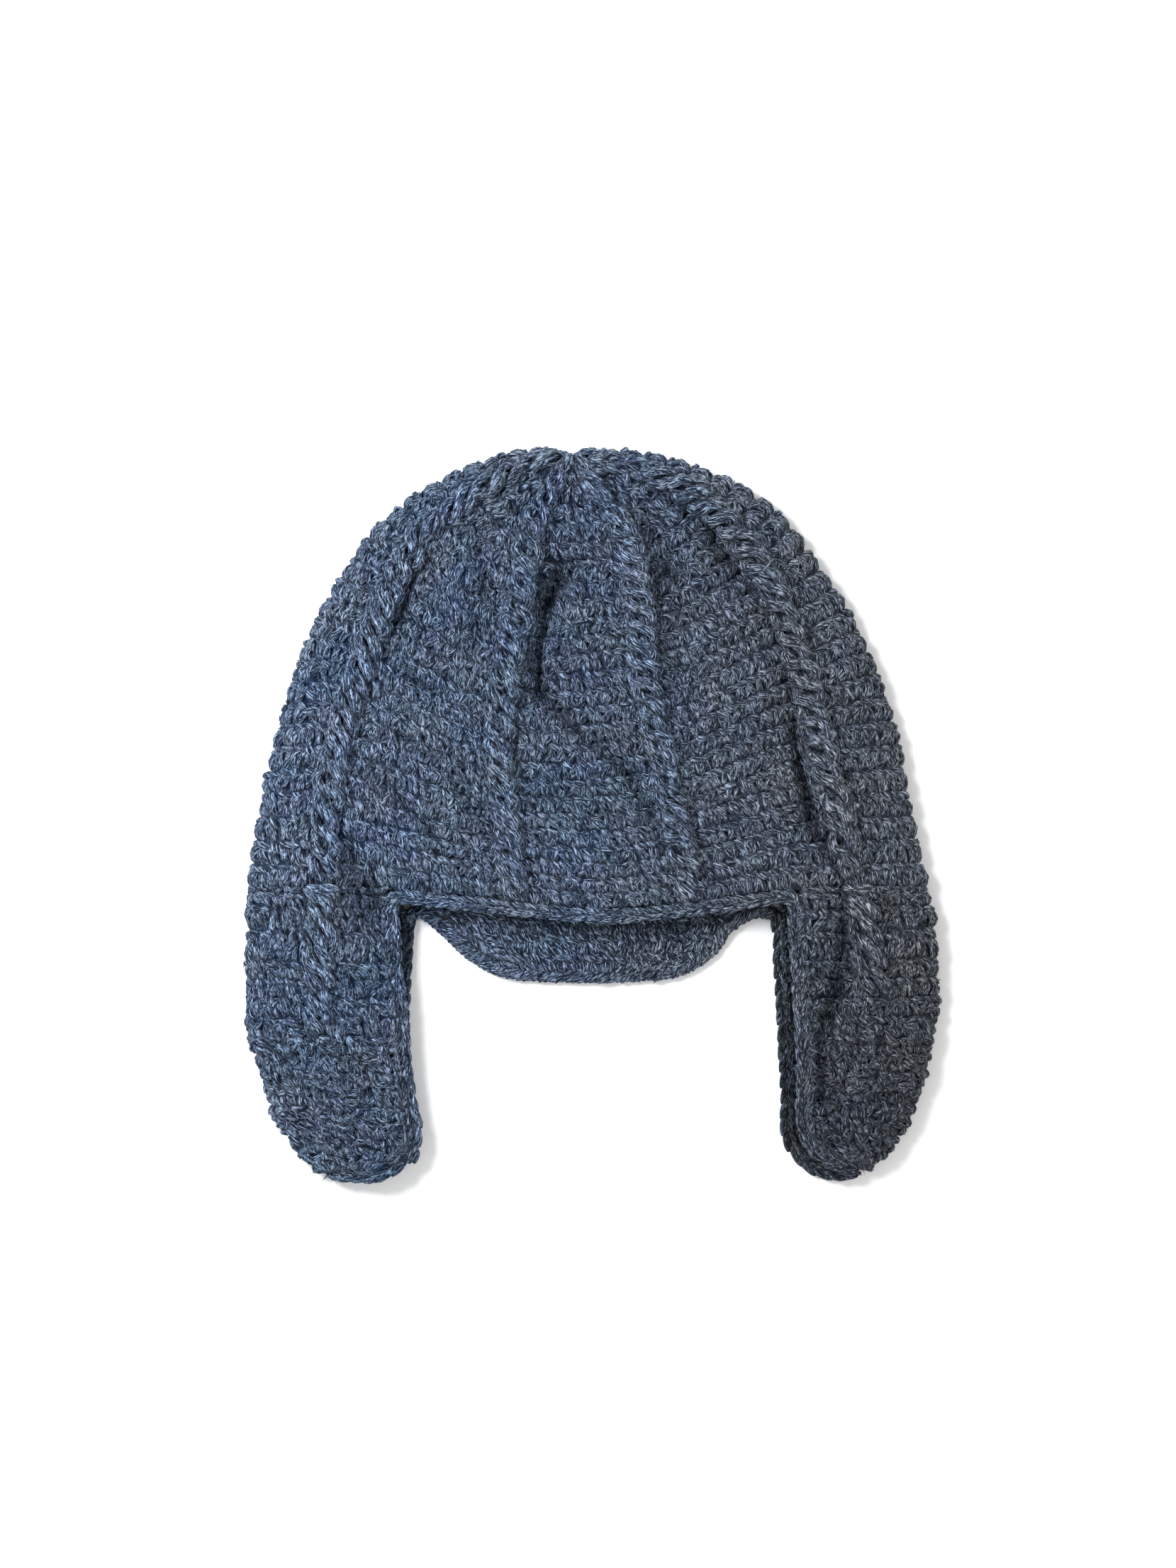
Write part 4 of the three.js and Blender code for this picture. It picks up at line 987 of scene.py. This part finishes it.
# ------------------------------------------------------------------ earflaps
flaps = {}
for name, table, side in (("left", FL, -1), ("right", FR, 1)):
    cloth = flap_cloth(table)
    rows = 16
    d = 1.0 / rows
    outer, under = Yarn(), Yarn()
    fold_q = 60
    cable_rows = 8 if side < 0 else 6
    for j in range(rows):
        t = j * d
        arc = cloth.arc(min(1.0, t + 0.3 * d))
        total = arc[-1]
        moss = 0.85 * np.clip((j - 5.0) / 3, 0, 1)
        n = int(round(total / (STITCH + 0.7 * min(1, moss / 0.85))))
        l = spread(total, n, j, 4.0 + side)
        q = np.interp(l, arc, np.arange(cloth.cols))
        px, _ = cloth.at(np.full(n, t), q)
        isfront = q >= fold_q - 2
        keep = np.ones(n, bool)
        cx = (-106.0 - 0.2 * j) if side < 0 else (103.6 + 1.4 * j)
        if j < cable_rows:
            keep = (np.abs(px[:, 0] - cx) > (4.4 if side < 0 else 5.2)) | ~isfront
            qs = np.arange(fold_q, cloth.cols)
            xs = cloth.at(np.full(len(qs), t), qs.astype(float))[0][:, 0]
            order = np.argsort(xs)
            cq = float(np.interp(cx, xs[order], qs[order].astype(float)))
            cable(cloth, cq, t, d, seed=30 + side, wide=1.1 if side < 0 else 1.2, flip=-side, big=1.15)
        f = keep & isfront
        lean = rng.normal(0, 0.12 + 0.25 * moss, n)
        mossy = rng.random(n) < moss
        pick = rng.random(n)
        for g, kinds in ((pick < 0.4, STEEP if side < 0 else VEE), ((pick >= 0.4) & (pick < 0.7), FAN), (pick >= 0.7, PLAIN)):
            g = g & f & ~mossy
            lay(outer, cloth, t, d, l[g], total / n, kinds, arc, rings=5, lean=lean[g], seed=4.0 + side, rough=1.15, mirror=-side)
        lay(outer, cloth, t, d, l[f & mossy], total / n, MOSS, arc, rings=5, rough=1.4, lean=lean[f & mossy], seed=4.0 + side, mirror=-side, thick=1.14)
        b = keep & ~isfront
        lay(under, cloth, t, d, l[b], total / n, UNDERSIDE, arc, rings=5, sides=4, rough=1.2, seed=6.0 + side, thick=0.92)
    # short stitches join the two halves across the tip, from the fold to where the braid turns
    w = np.linspace(0.02, 0.62, 13)
    tipx, tipy = flap_xy(table, "F", w, np.ones(13))
    fd = np.minimum(from_fold(tipx, tipy), np.hypot(tipx - table[-1, 1], tipy - table[-1, 2]))
    zf, zb = front_high(tipx, tipy, fd), back_high(tipx, tipy, fd)
    s = np.linspace(0, 1, 6)
    for x, y, a, b in zip(tipx, tipy, zb, zf):
        for turn in (-1, 1):
            z = a + 0.9 + (b - a - 1.8) * s
            p = np.c_[x + turn * 1.7 * (s - 0.5) + rng.normal(0, 0.3), y + 1.2 - 2.7 * np.sin(np.pi * s) ** 0.6 + rng.normal(0, 0.2), z]
            outer.add(p[None], np.tile([0.0, -0.95, 0.3], (1, 6, 1)), np.array([1.55]), sides=6, tone=rng.random(1))
    flaps[name] = (cloth, outer, under)

# ------------------------------------------------------------------ nape flap, upper side (the inside of the cloth) and underside
nape_top = nape_cloth(WALL, 1, 1.2, 2.4)
nape_low = nape_cloth(0.0, -1, 1.2, 1.2)
nape_yarn = Yarn()
NAPE_ROWS = 4
NAPE_STITCH = (
    strand(-0.62, -0.10, 0.60, 0.34, -0.4, 1.7, -0.5, 1.42),
    strand(-0.46, 0.26, 0.10, 0.98, -0.2, 1.1, -0.4, 1.34, 0.06),
    strand(0.04, 0.26, 0.54, 0.98, -0.2, 1.1, -0.4, 1.34, -0.04),
)
for j in range(NAPE_ROWS):
    d = 1.0 / NAPE_ROWS
    t = j * d
    for cloth, kinds, rings, sides, thick in ((nape_top, NAPE_STITCH, 5, 6, 0.9), (nape_low, UNDERSIDE, 4, 4, 0.8)):
        arc = cloth.arc(min(1, t + 0.3 * d))
        n = int(round(arc[-1] / 3.9))
        l = spread(arc[-1], n, 0.5 * j, 8.0)
        lay(nape_yarn, cloth, t, d, l, arc[-1] / n, kinds, arc, rings=rings, sides=sides, seed=8.0, thick=thick, lean=rng.normal(0, 0.12, n), rough=0.8, drift=0.05)

# The inside of the back, as far as it can be seen past the front hem
inside_yarn = Yarn()
UP = lambda p: np.broadcast_to(np.array([0.0, 0.0, 1.0]), p.shape)
x = np.linspace(-108, 106, 121)
inside = Cloth(np.array([np.c_[x, hem_y("B", x) + y, np.full(121, WALL)] for y in np.linspace(18, 0, 13)]), np.linspace(0, 1, 13), False, UP, 0.9)
for j in range(3):
    arc = inside.arc(j / 3.0)
    n = int(round(arc[-1] / STITCH))
    lay(inside_yarn, inside, j / 3.0, 1 / 3.0, spread(arc[-1], n, j, 9.0), arc[-1] / n, PLAIN, arc, rings=4, sides=4, seed=9.0, thick=0.85)

# The inside of each back half beside its free border, which shows past the front half
strip_yarn = Yarn()
for name, table, side in (("left", FL, -1), ("right", FR, 1)):
    rows_in = []
    for v in np.linspace(0.0, 0.98, 25):
        bx, by = flap_xy(table, "B", np.linspace(0.66, 1.03, 13), np.full(13, v))
        rows_in.append(np.c_[bx, by, np.full(13, WALL)])
    strip = Cloth(np.array(rows_in), np.linspace(0, 1, 25), False, UP, 0.9)
    for j in range(13):
        arc = strip.arc(min(1, (j + 0.3) / 13.0))
        n = int(round(arc[-1] / STITCH))
        lay(strip_yarn, strip, j / 13.0, 1 / 13.0, spread(arc[-1], n, 0, 10.0), arc[-1] / n, PLAIN, arc, rings=5, sides=4, rough=1.3, seed=10.0, thick=0.8)


# ------------------------------------------------------------------ edging
def catmull(points, per=12):
    p = np.asarray(points, float)
    n = len(p)
    out = []
    for i in range(n):
        p0, p1, p2, p3 = p[i - 1], p[i], p[(i + 1) % n], p[(i + 2) % n]
        t1, t2 = 0.0, np.linalg.norm(p2 - p1) ** 0.5
        t0, t3 = -np.linalg.norm(p1 - p0) ** 0.5, t2 + np.linalg.norm(p3 - p2) ** 0.5
        for t in np.linspace(t1, t2, per, endpoint=False):
            a1 = (t1 - t) / (t1 - t0) * p0 + (t - t0) / (t1 - t0) * p1
            a2 = (t2 - t) / (t2 - t1) * p1 + (t - t1) / (t2 - t1) * p2
            a3 = (t3 - t) / (t3 - t2) * p2 + (t - t2) / (t3 - t2) * p3
            b1 = (t2 - t) / (t2 - t0) * a1 + (t - t0) / (t2 - t0) * a2
            b2 = (t3 - t) / (t3 - t1) * a2 + (t - t1) / (t3 - t1) * a3
            out.append((t2 - t) / (t2 - t1) * b1 + (t - t1) / (t2 - t1) * b2)
    return np.array(out)


def one(v):
    return float(np.asarray(v).ravel()[0])


def edging_path():
    path, kind = [], []
    EDGE_OUT = 2.5  # the braid is worked into the cloth's border, nearer than the solid cord

    def mid(x, y, is_front):
        x, y = np.array([x]), np.array([y])
        return one(front_high(x, y)) - WALL / 2 if is_front else max(EDGE_R + 0.2, one(back_high(x, y)) + WALL / 2)

    def add(x, y, z, k):
        path.append((x, y, z))
        kind.append(k)

    def fp(table, half, w, v):
        x, y = flap_xy(table, half, np.array([float(w)]), np.array([float(v)]))
        return one(x), one(y)

    def go_round(table, order):
        side = np.sign(table[0, 1])

        def put(half, v):
            x, y = fp(table, half, 1, v)
            ax, ay = fp(table, half, 1, max(0.05, v - 0.03))
            bx, by = fp(table, half, 1, min(1, v + 0.03))
            nx, ny = side * (by - ay), -side * (bx - ax)
            m = np.hypot(nx, ny)
            off = EDGE_OUT + (0.7 if half == "F" else 0.1)
            add(x + nx / m * off, y + ny / m * off, mid(x, y, half == "F"), half)

        def corner(half):
            x, y = fp(table, half, 1, 1)
            add(x - side * 0.45 * EDGE_OUT, y - 1.02 * EDGE_OUT, mid(x, y, half == "F") + (0.4 if half == "B" else 0), half)

        stops = [0.08, 0.16, 0.26, 0.36, 0.46, 0.56, 0.66, 0.75, 0.83, 0.89, 0.94]
        tx, ty = fp(table, "F", 0, 1)
        for v in stops if order[0] == "F" else stops[1:]:
            put(order[0], v)
        corner(order[0])
        add(tx - side * 6.0, ty - 0.80 * EDGE_OUT, FOLD_HALF, "T")
        corner(order[1])
        for v in (stops if order[1] == "F" else stops[1:])[::-1]:
            put(order[1], v)

    x0, x1 = FL[0, 3] + EDGE_OUT + 2.2, FR[0, 3] - EDGE_OUT - 2.2
    for i in range(15):
        x = x0 + (x1 - x0) * i / 14
        y = one(hem_y("F", np.array([x])))
        add(x, y - EDGE_OUT - 0.2, mid(x, y, True), "H")
    go_round(FR, "FB")
    low = EDGE_R + 0.2
    add(FR[0, 5] - EDGE_OUT - 0.8, one(hem_y("B", np.array([72.0]))) - EDGE_OUT - 2.4, low, "N")
    add((FR[0, 5] + NP[0, 2]) / 2, one(hem_y("B", np.array([64.0]))) - EDGE_OUT - 0.3, low, "N")
    bottom = [(NP[-1, 1] + (NP[-1, 2] - NP[-1, 1]) * w, NP[-1, 0] - NP[-1, 3] * np.sin(np.pi * w)) for w in (0.85, 0.7, 0.5, 0.3, 0.15)]
    rim = [(r[2], r[0]) for r in NP[1:]] + bottom + [(r[1], r[0]) for r in NP[1:]][::-1]
    for i, (x, y) in enumerate(rim):
        a, b = rim[max(0, i - 1)], rim[min(len(rim) - 1, i + 1)]
        nx, ny = b[1] - a[1], a[0] - b[0]
        m = np.hypot(nx, ny)
        nx, ny = nx / m, ny / m
        out = -1 if ny > 0.05 or (nx < -0.05 if x > 0 else nx > 0.05) else 1
        add(x + out * nx * (EDGE_OUT + 0.15), y + out * ny * (EDGE_OUT + 0.15), low, "N")
    add((FL[0, 5] + NP[0, 1]) / 2, one(hem_y("B", np.array([-68.0]))) - EDGE_OUT - 0.3, low, "N")
    add(FL[0, 5] + EDGE_OUT + 0.8, one(hem_y("B", np.array([-72.0]))) - EDGE_OUT - 2.4, low, "N")
    go_round(FL, "BF")
    return np.array(path), kind


path, kind = edging_path()
dense = catmull(path, 12)
dense_kind = np.repeat(kind, 12)
closed = np.vstack([dense, dense[:1]])
run = np.concatenate([[0], np.cumsum(np.linalg.norm(np.diff(closed, axis=0), axis=1))])
edge_len = run[-1]
edge, edge_inner = Yarn(), Yarn()


def on_edge(l):
    l = np.mod(l, edge_len)
    return np.stack([np.interp(l, run, closed[:, k]) for k in range(3)], -1)


def edge_strand(l, w, h, face, radius, flat=0.84, into=None):
    """l along the path, w across it in the plane of the cloth, h off it."""
    c = on_edge(l)
    tan = on_edge(l + 0.4) - on_edge(l - 0.4)
    tan /= np.linalg.norm(tan, axis=1, keepdims=True)
    up = np.tile([0.0, 0.0, float(face)], (len(l), 1))
    lat = np.cross(tan, up)
    lat /= np.linalg.norm(lat, axis=1, keepdims=True) + 1e-9
    upn = np.cross(lat, tan)
    upn *= np.sign((upn * up).sum(1, keepdims=True))
    p = c + lat * w[:, None] + upn * h[:, None]
    (into or edge).add(p[None], upn[None], np.array([radius * (1 + rng.normal(0, 0.07))]), sides=6, flat=flat)


PITCH = {"H": 4.9, "F": 6.6, "B": 6.2, "N": 4.3, "T": 5.0}
s = np.linspace(0, 1, 7)
l0 = 0.0
while l0 < edge_len:
    k = dense_kind[min(len(dense_kind) - 1, max(0, int(np.searchsorted(run, l0)) - 1))]
    pitch = PITCH[k]
    jig = rng.normal(0, 0.3)
    for face in (1, -1):
        if k == "N":  # slanted loops over a plain border
            for o in (-0.25, 0.25):
                a = (o - 0.55 + 1.1 * s) * pitch + jig
                edge_strand(l0 + a, 2.4 - 4.8 * s + rng.normal(0, 0.15), -0.2 + 1.7 * np.sin(np.pi * s) ** 0.7, face, 1.35)
            continue
        wide = {"H": 2.2, "F": 2.5, "B": 2.2, "T": 2.4}[k]
        thick = {"H": 1.22, "F": 1.42, "B": 1.25, "T": 1.3}[k]
        for leg in (1, -1):
            # a leg runs from the outside of the braid to its middle line, over the next one's start
            a = (-0.78 + 1.4 * s) * pitch + jig + rng.normal(0, 0.25)
            w = leg * (wide * (1 - s) ** 0.8 + 0.2) + rng.normal(0, 0.15)
            h = 0.2 + 1.9 * np.sin(np.pi * s) ** 0.7 - 0.5 * s + rng.normal(0, 0.12)
            # the back half's upper braid goes into edge_inner, which takes the painted-shade wool
            edge_strand(l0 + a, w, h, face, thick, into=edge_inner if k == "B" and face > 0 else None)
    l0 += pitch

# a core of yarn inside the braid
core_pts = on_edge(np.linspace(0, edge_len, 241))
edge.add(core_pts[None], np.tile([0.0, 0.0, 1.0], (1, 241, 1)), np.full((1, 241), 1.9), sides=6, flat=1.0)

# a ragged end where the yarn was fastened off
for k in range(16):
    c = np.array([-70.4 + rng.normal(0, 0.7), -128.0 + rng.normal(0, 3.0), 6.5 + rng.normal(0, 1.8)])
    th = rng.normal(-0.2, 0.8)
    d = np.array([np.cos(th), np.sin(th), rng.normal(0, 0.25)])
    ln = 3.6 + 1.6 * rng.random()
    s5 = np.linspace(0, 1, 6)
    p = c + np.outer((s5 - 0.72) * ln, d) + np.outer(np.sin(np.pi * s5), rng.normal(0, 0.8, 3))
    edge.add(p[None], np.tile([0, 0, 1.0], (1, 6, 1)), np.array([1.45]), sides=6)


# ------------------------------------------------------------------ backing: a core sheet under the strands, coloured darker as painted shade in the gaps
def shell(cloth, first, last, rows, qi, outer_in, inner_in):
    """A closed wall between two depths under a cloth's smooth surface, from row first to row last, at columns qi."""
    ti = np.linspace(first, last, rows)
    tt, qq = np.meshgrid(ti, qi, indexing="ij")
    p, n = cloth.at(tt, np.minimum(qq, cloth.cols - 1 - 1e-6))
    deep = creases(p[..., 0].ravel(), p[..., 1].ravel()).reshape(p.shape[:2]) * (n[..., 2] > 0.3)
    a = p - n * (outer_in + 0.25 * deep)[..., None]
    b = p - n * inner_in
    r, c = tt.shape
    v = np.concatenate([a.reshape(-1, 3), b.reshape(-1, 3)])
    idx = np.arange(r * c).reshape(r, c)
    nxt = np.roll(idx, -1, 1) if cloth.closed else idx[:, 1:]
    cur = idx if cloth.closed else idx[:, :-1]
    f = [np.stack([cur[:-1], cur[1:], nxt[1:], nxt[:-1]], 2).reshape(-1, 4)]
    f.append(f[0][:, ::-1] + r * c)
    f.append(np.stack([cur[-1], cur[-1] + r * c, nxt[-1] + r * c, nxt[-1]], 1))
    f.append(np.stack([cur[0], nxt[0], nxt[0] + r * c, cur[0] + r * c], 1))
    if not cloth.closed:
        for e, flip in ((idx[:, 0], 1), (idx[:, -1], -1)):
            g = np.stack([e[:-1], e[:-1] + r * c, e[1:] + r * c, e[1:]], 1)
            f.append(g[:, ::flip])
    return v, np.concatenate(f)


crown_q = np.concatenate([np.linspace(0, FRONT_Q, 140), np.linspace(FRONT_Q, crown.cols - 1, 50)[1:-1]])
flap_q = np.linspace(0, flaps["left"][0].cols - 1, 69)
core_sheets = [
    make_mesh("crown_cloth_core", *shell(crown, 0.045, 1.0, 66, crown_q, -0.05, WALL - SINK - 0.4), material=CORE_PAINTED_SHADE),
    make_mesh("earflap_left_cloth_core", *shell(flaps["left"][0], 0.0, 0.97, 28, flap_q, 0.0, WALL - SINK - 0.6), material=CORE_PAINTED_SHADE),
    make_mesh("earflap_right_cloth_core", *shell(flaps["right"][0], 0.0, 0.97, 28, flap_q, 0.0, WALL - SINK - 0.6), material=CORE_PAINTED_SHADE),
    make_mesh("nape_flap_cloth_core", *shell(nape_top, 0.0, 1.0, 10, np.linspace(0, nape_top.cols - 1, 51), 0.0, WALL - 2.4 - 0.3), material=CORE_PAINTED_SHADE),
]

# ------------------------------------------------------------------ pieces
made = {
    name: yarn_object(name, yarn, material)
    for name, yarn, material in (
        ("crown_stitches_upper", front_a, WOOL),
        ("crown_stitches_lower", front_b, WOOL),
        ("crown_stitches_back", back_yarn, WOOL),
        ("crown_cables", cables, WOOL),
        ("crown_inside_stitches", inside_yarn, WOOL),
        ("earflap_left_stitches", flaps["left"][1], WOOL),
        ("earflap_left_back_stitches", flaps["left"][2], WOOL),
        ("earflap_right_stitches", flaps["right"][1], WOOL),
        ("earflap_right_back_stitches", flaps["right"][2], WOOL),
        ("nape_flap_stitches", nape_yarn, WOOL_NAPE_SHADED),
        ("edging_braid", edge, WOOL_EDGE),
        ("edging_braid_inner", edge_inner, WOOL_SHADE),
        ("earflap_inside_stitches", strip_yarn, WOOL_SHADE),
    )
}


# ------------------------------------------------------------------ loose fibres
def fuzz(name, yarns, count, reach=1.0, thick=1.0, material=None):
    """Thin bent fibres, pointed at both ends, that lie along the strands and lift off them."""
    pts, out, tan = [], [], []
    for y in yarns:
        for (rings, sides, flat), parts in y.batches.items():
            for p, o, r, _ in parts:
                mid = slice(1, -1)
                pts.append((p + o * r[..., None] * flat * 0.93)[:, mid].reshape(-1, 3))
                out.append(o[:, mid].reshape(-1, 3))
                tan.append(np.gradient(p, axis=1)[:, mid].reshape(-1, 3))
    pts, out, tan = map(np.concatenate, (pts, out, tan))
    i = rng.integers(0, len(pts), count)
    p, o, t = pts[i], out[i], tan[i]
    t = t / (np.linalg.norm(t, axis=1, keepdims=True) + 1e-9)
    w = np.cross(o, t)
    w /= np.linalg.norm(w, axis=1, keepdims=True) + 1e-9
    p = p + w * rng.normal(0, 0.50, count)[:, None] * reach
    th = rng.normal(0, 0.22, count)[:, None]
    d = t * np.cos(th) + w * np.sin(th)
    d *= np.sign(rng.random(count) - 0.5)[:, None]
    wild = (rng.random(count) < 0.12 * (np.abs(o[:, 2]) > 0.75))[:, None]  # none stands off at the outline
    ln = np.where(wild, 3.4 + 2.8 * rng.random((count, 1)), 2.1 + 1.7 * rng.random((count, 1))) * reach
    lift = np.where(wild, 0.25 + 0.5 * rng.random((count, 1)), 0.06 * rng.normal(0, 1, (count, 1)))
    bend = rng.normal(0, 0.16, count)[:, None]
    e = np.cross(d, o)
    a = p - d * ln * 0.5 - o * 0.12
    m = p + o * (0.10 + lift * ln * 0.3) + e * bend * ln * 0.5
    q = p + d * ln * 0.5 + o * (lift * ln - 0.10 * ~wild) - e * bend * ln * 0.3
    half = (0.044 + 0.042 * rng.random(count))[:, None] * thick
    # a closed sliver: both ends, and two points beside its middle
    v = np.concatenate([a, m - e * half + o * 0.06, m + e * half + o * 0.06, q])
    k = np.arange(count)
    A, L, Rr, Q = (k + c * count for c in range(4))
    tri = np.concatenate([np.stack(x, 1) for x in ((A, Rr, L), (Q, L, Rr), (A, L, Q), (A, Q, Rr))])
    tone = np.where(rng.random(count) < 0.22, 0.15 * rng.random(count), 0.35 + 0.65 * rng.random(count) ** 1.3)
    # painted shade: fibres in creases and on the left fold darker
    tone = tone * np.maximum(0.05, 1 - 0.17 * painted_shade_depth(p, o))
    return make_mesh(name, v, tri, tones=np.tile(tone, 4), material=material or FIBRE, smooth=False)


made["crown_fibres_upper"] = fuzz("crown_fibres_upper", [front_a, cables], 26000)
made["crown_fibres_lower"] = fuzz("crown_fibres_lower", [front_b, cables], 23000)
made["earflap_fibres"] = fuzz("earflap_fibres", [flaps["left"][1], flaps["right"][1]], 20000)
made["rim_fibres"] = fuzz("rim_fibres", [nape_yarn, edge, inside_yarn], 9000)
made["inner_side_fibres"] = fuzz("inner_side_fibres", [edge_inner, strip_yarn], 3000, material=FIBRE_SHADE)
made["back_fibres"] = fuzz("back_fibres", [back_yarn, flaps["left"][2], flaps["right"][2]], 6000)

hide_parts("crown")
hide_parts("earflap_left")
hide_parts("earflap_right")
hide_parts("nape_flap")
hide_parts("edging")

total_tris = 0
for o in core_sheets + list(made.values()):
    o.data.calc_loop_triangles()
    total_tris += len(o.data.loop_triangles)
    print("tris", o.name, len(o.data.loop_triangles))
print("tris total", total_tris)

# ------------------------------------------------------------------ floor, light, camera
bpy.ops.mesh.primitive_plane_add(size=6, location=(0, 0, 0))
floor = bpy.context.object
floor.name = "floor"
fm = bpy.data.materials.new("floor")
fm.use_nodes = True
fb = fm.node_tree.nodes["Principled BSDF"]
fb.inputs["Base Color"].default_value = (0.95, 0.95, 0.95, 1)
fb.inputs["Roughness"].default_value = 0.9
fb.inputs["Specular IOR Level"].default_value = 0.1
floor.data.materials.append(fm)

scene = bpy.context.scene
scene.view_settings.view_transform = "Standard"
scene.view_settings.look = "None"
world = bpy.data.worlds.new("studio")
scene.world = world
world.use_nodes = True
world.node_tree.nodes["Background"].inputs["Color"].default_value = (0.98, 0.99, 1.0, 1)
world.node_tree.nodes["Background"].inputs["Strength"].default_value = 0.75


def area(name, where, size, power, colour, aim=(0, 0, 0.01)):
    lamp = bpy.data.lights.new(name, "AREA")
    lamp.shape = "DISK"
    lamp.size = size
    lamp.energy = power
    lamp.color = colour
    o = bpy.data.objects.new(name, lamp)
    scene.collection.objects.link(o)
    o.location = where
    o.rotation_euler = (Vector(aim) - Vector(where)).to_track_quat("-Z", "Y").to_euler()
    return o


area("key", (-0.56, 0.40, 0.95), 0.42, 16.0, (0.94, 0.97, 1.0))
area("fill", (1.2, -0.5, 1.3), 1.2, 6.0, (1.0, 0.96, 0.90))

# The photograph looks straight down: 0.28 mm for each of its pixels at the level of the folded sides.
MM_PX = 0.28
cam = bpy.data.cameras.new("camera")
cam.sensor_fit = "VERTICAL"
cam.sensor_height = 36.0
dist = 1.7
cam.lens = 36.0 * dist / (2212 * MM_PX / 1000)
cam.clip_start, cam.clip_end = 0.05, 20
eye = bpy.data.objects.new("camera", cam)
scene.collection.objects.link(eye)
eye.location = ((829.5 - 835.5) * MM_PX / 1000 + 0.00038, (1151 - 1106) * MM_PX / 1000 + 0.00021, FOLD_HALF / 1000 + dist)
eye.rotation_euler = (0, 0, 0)
scene.camera = eye
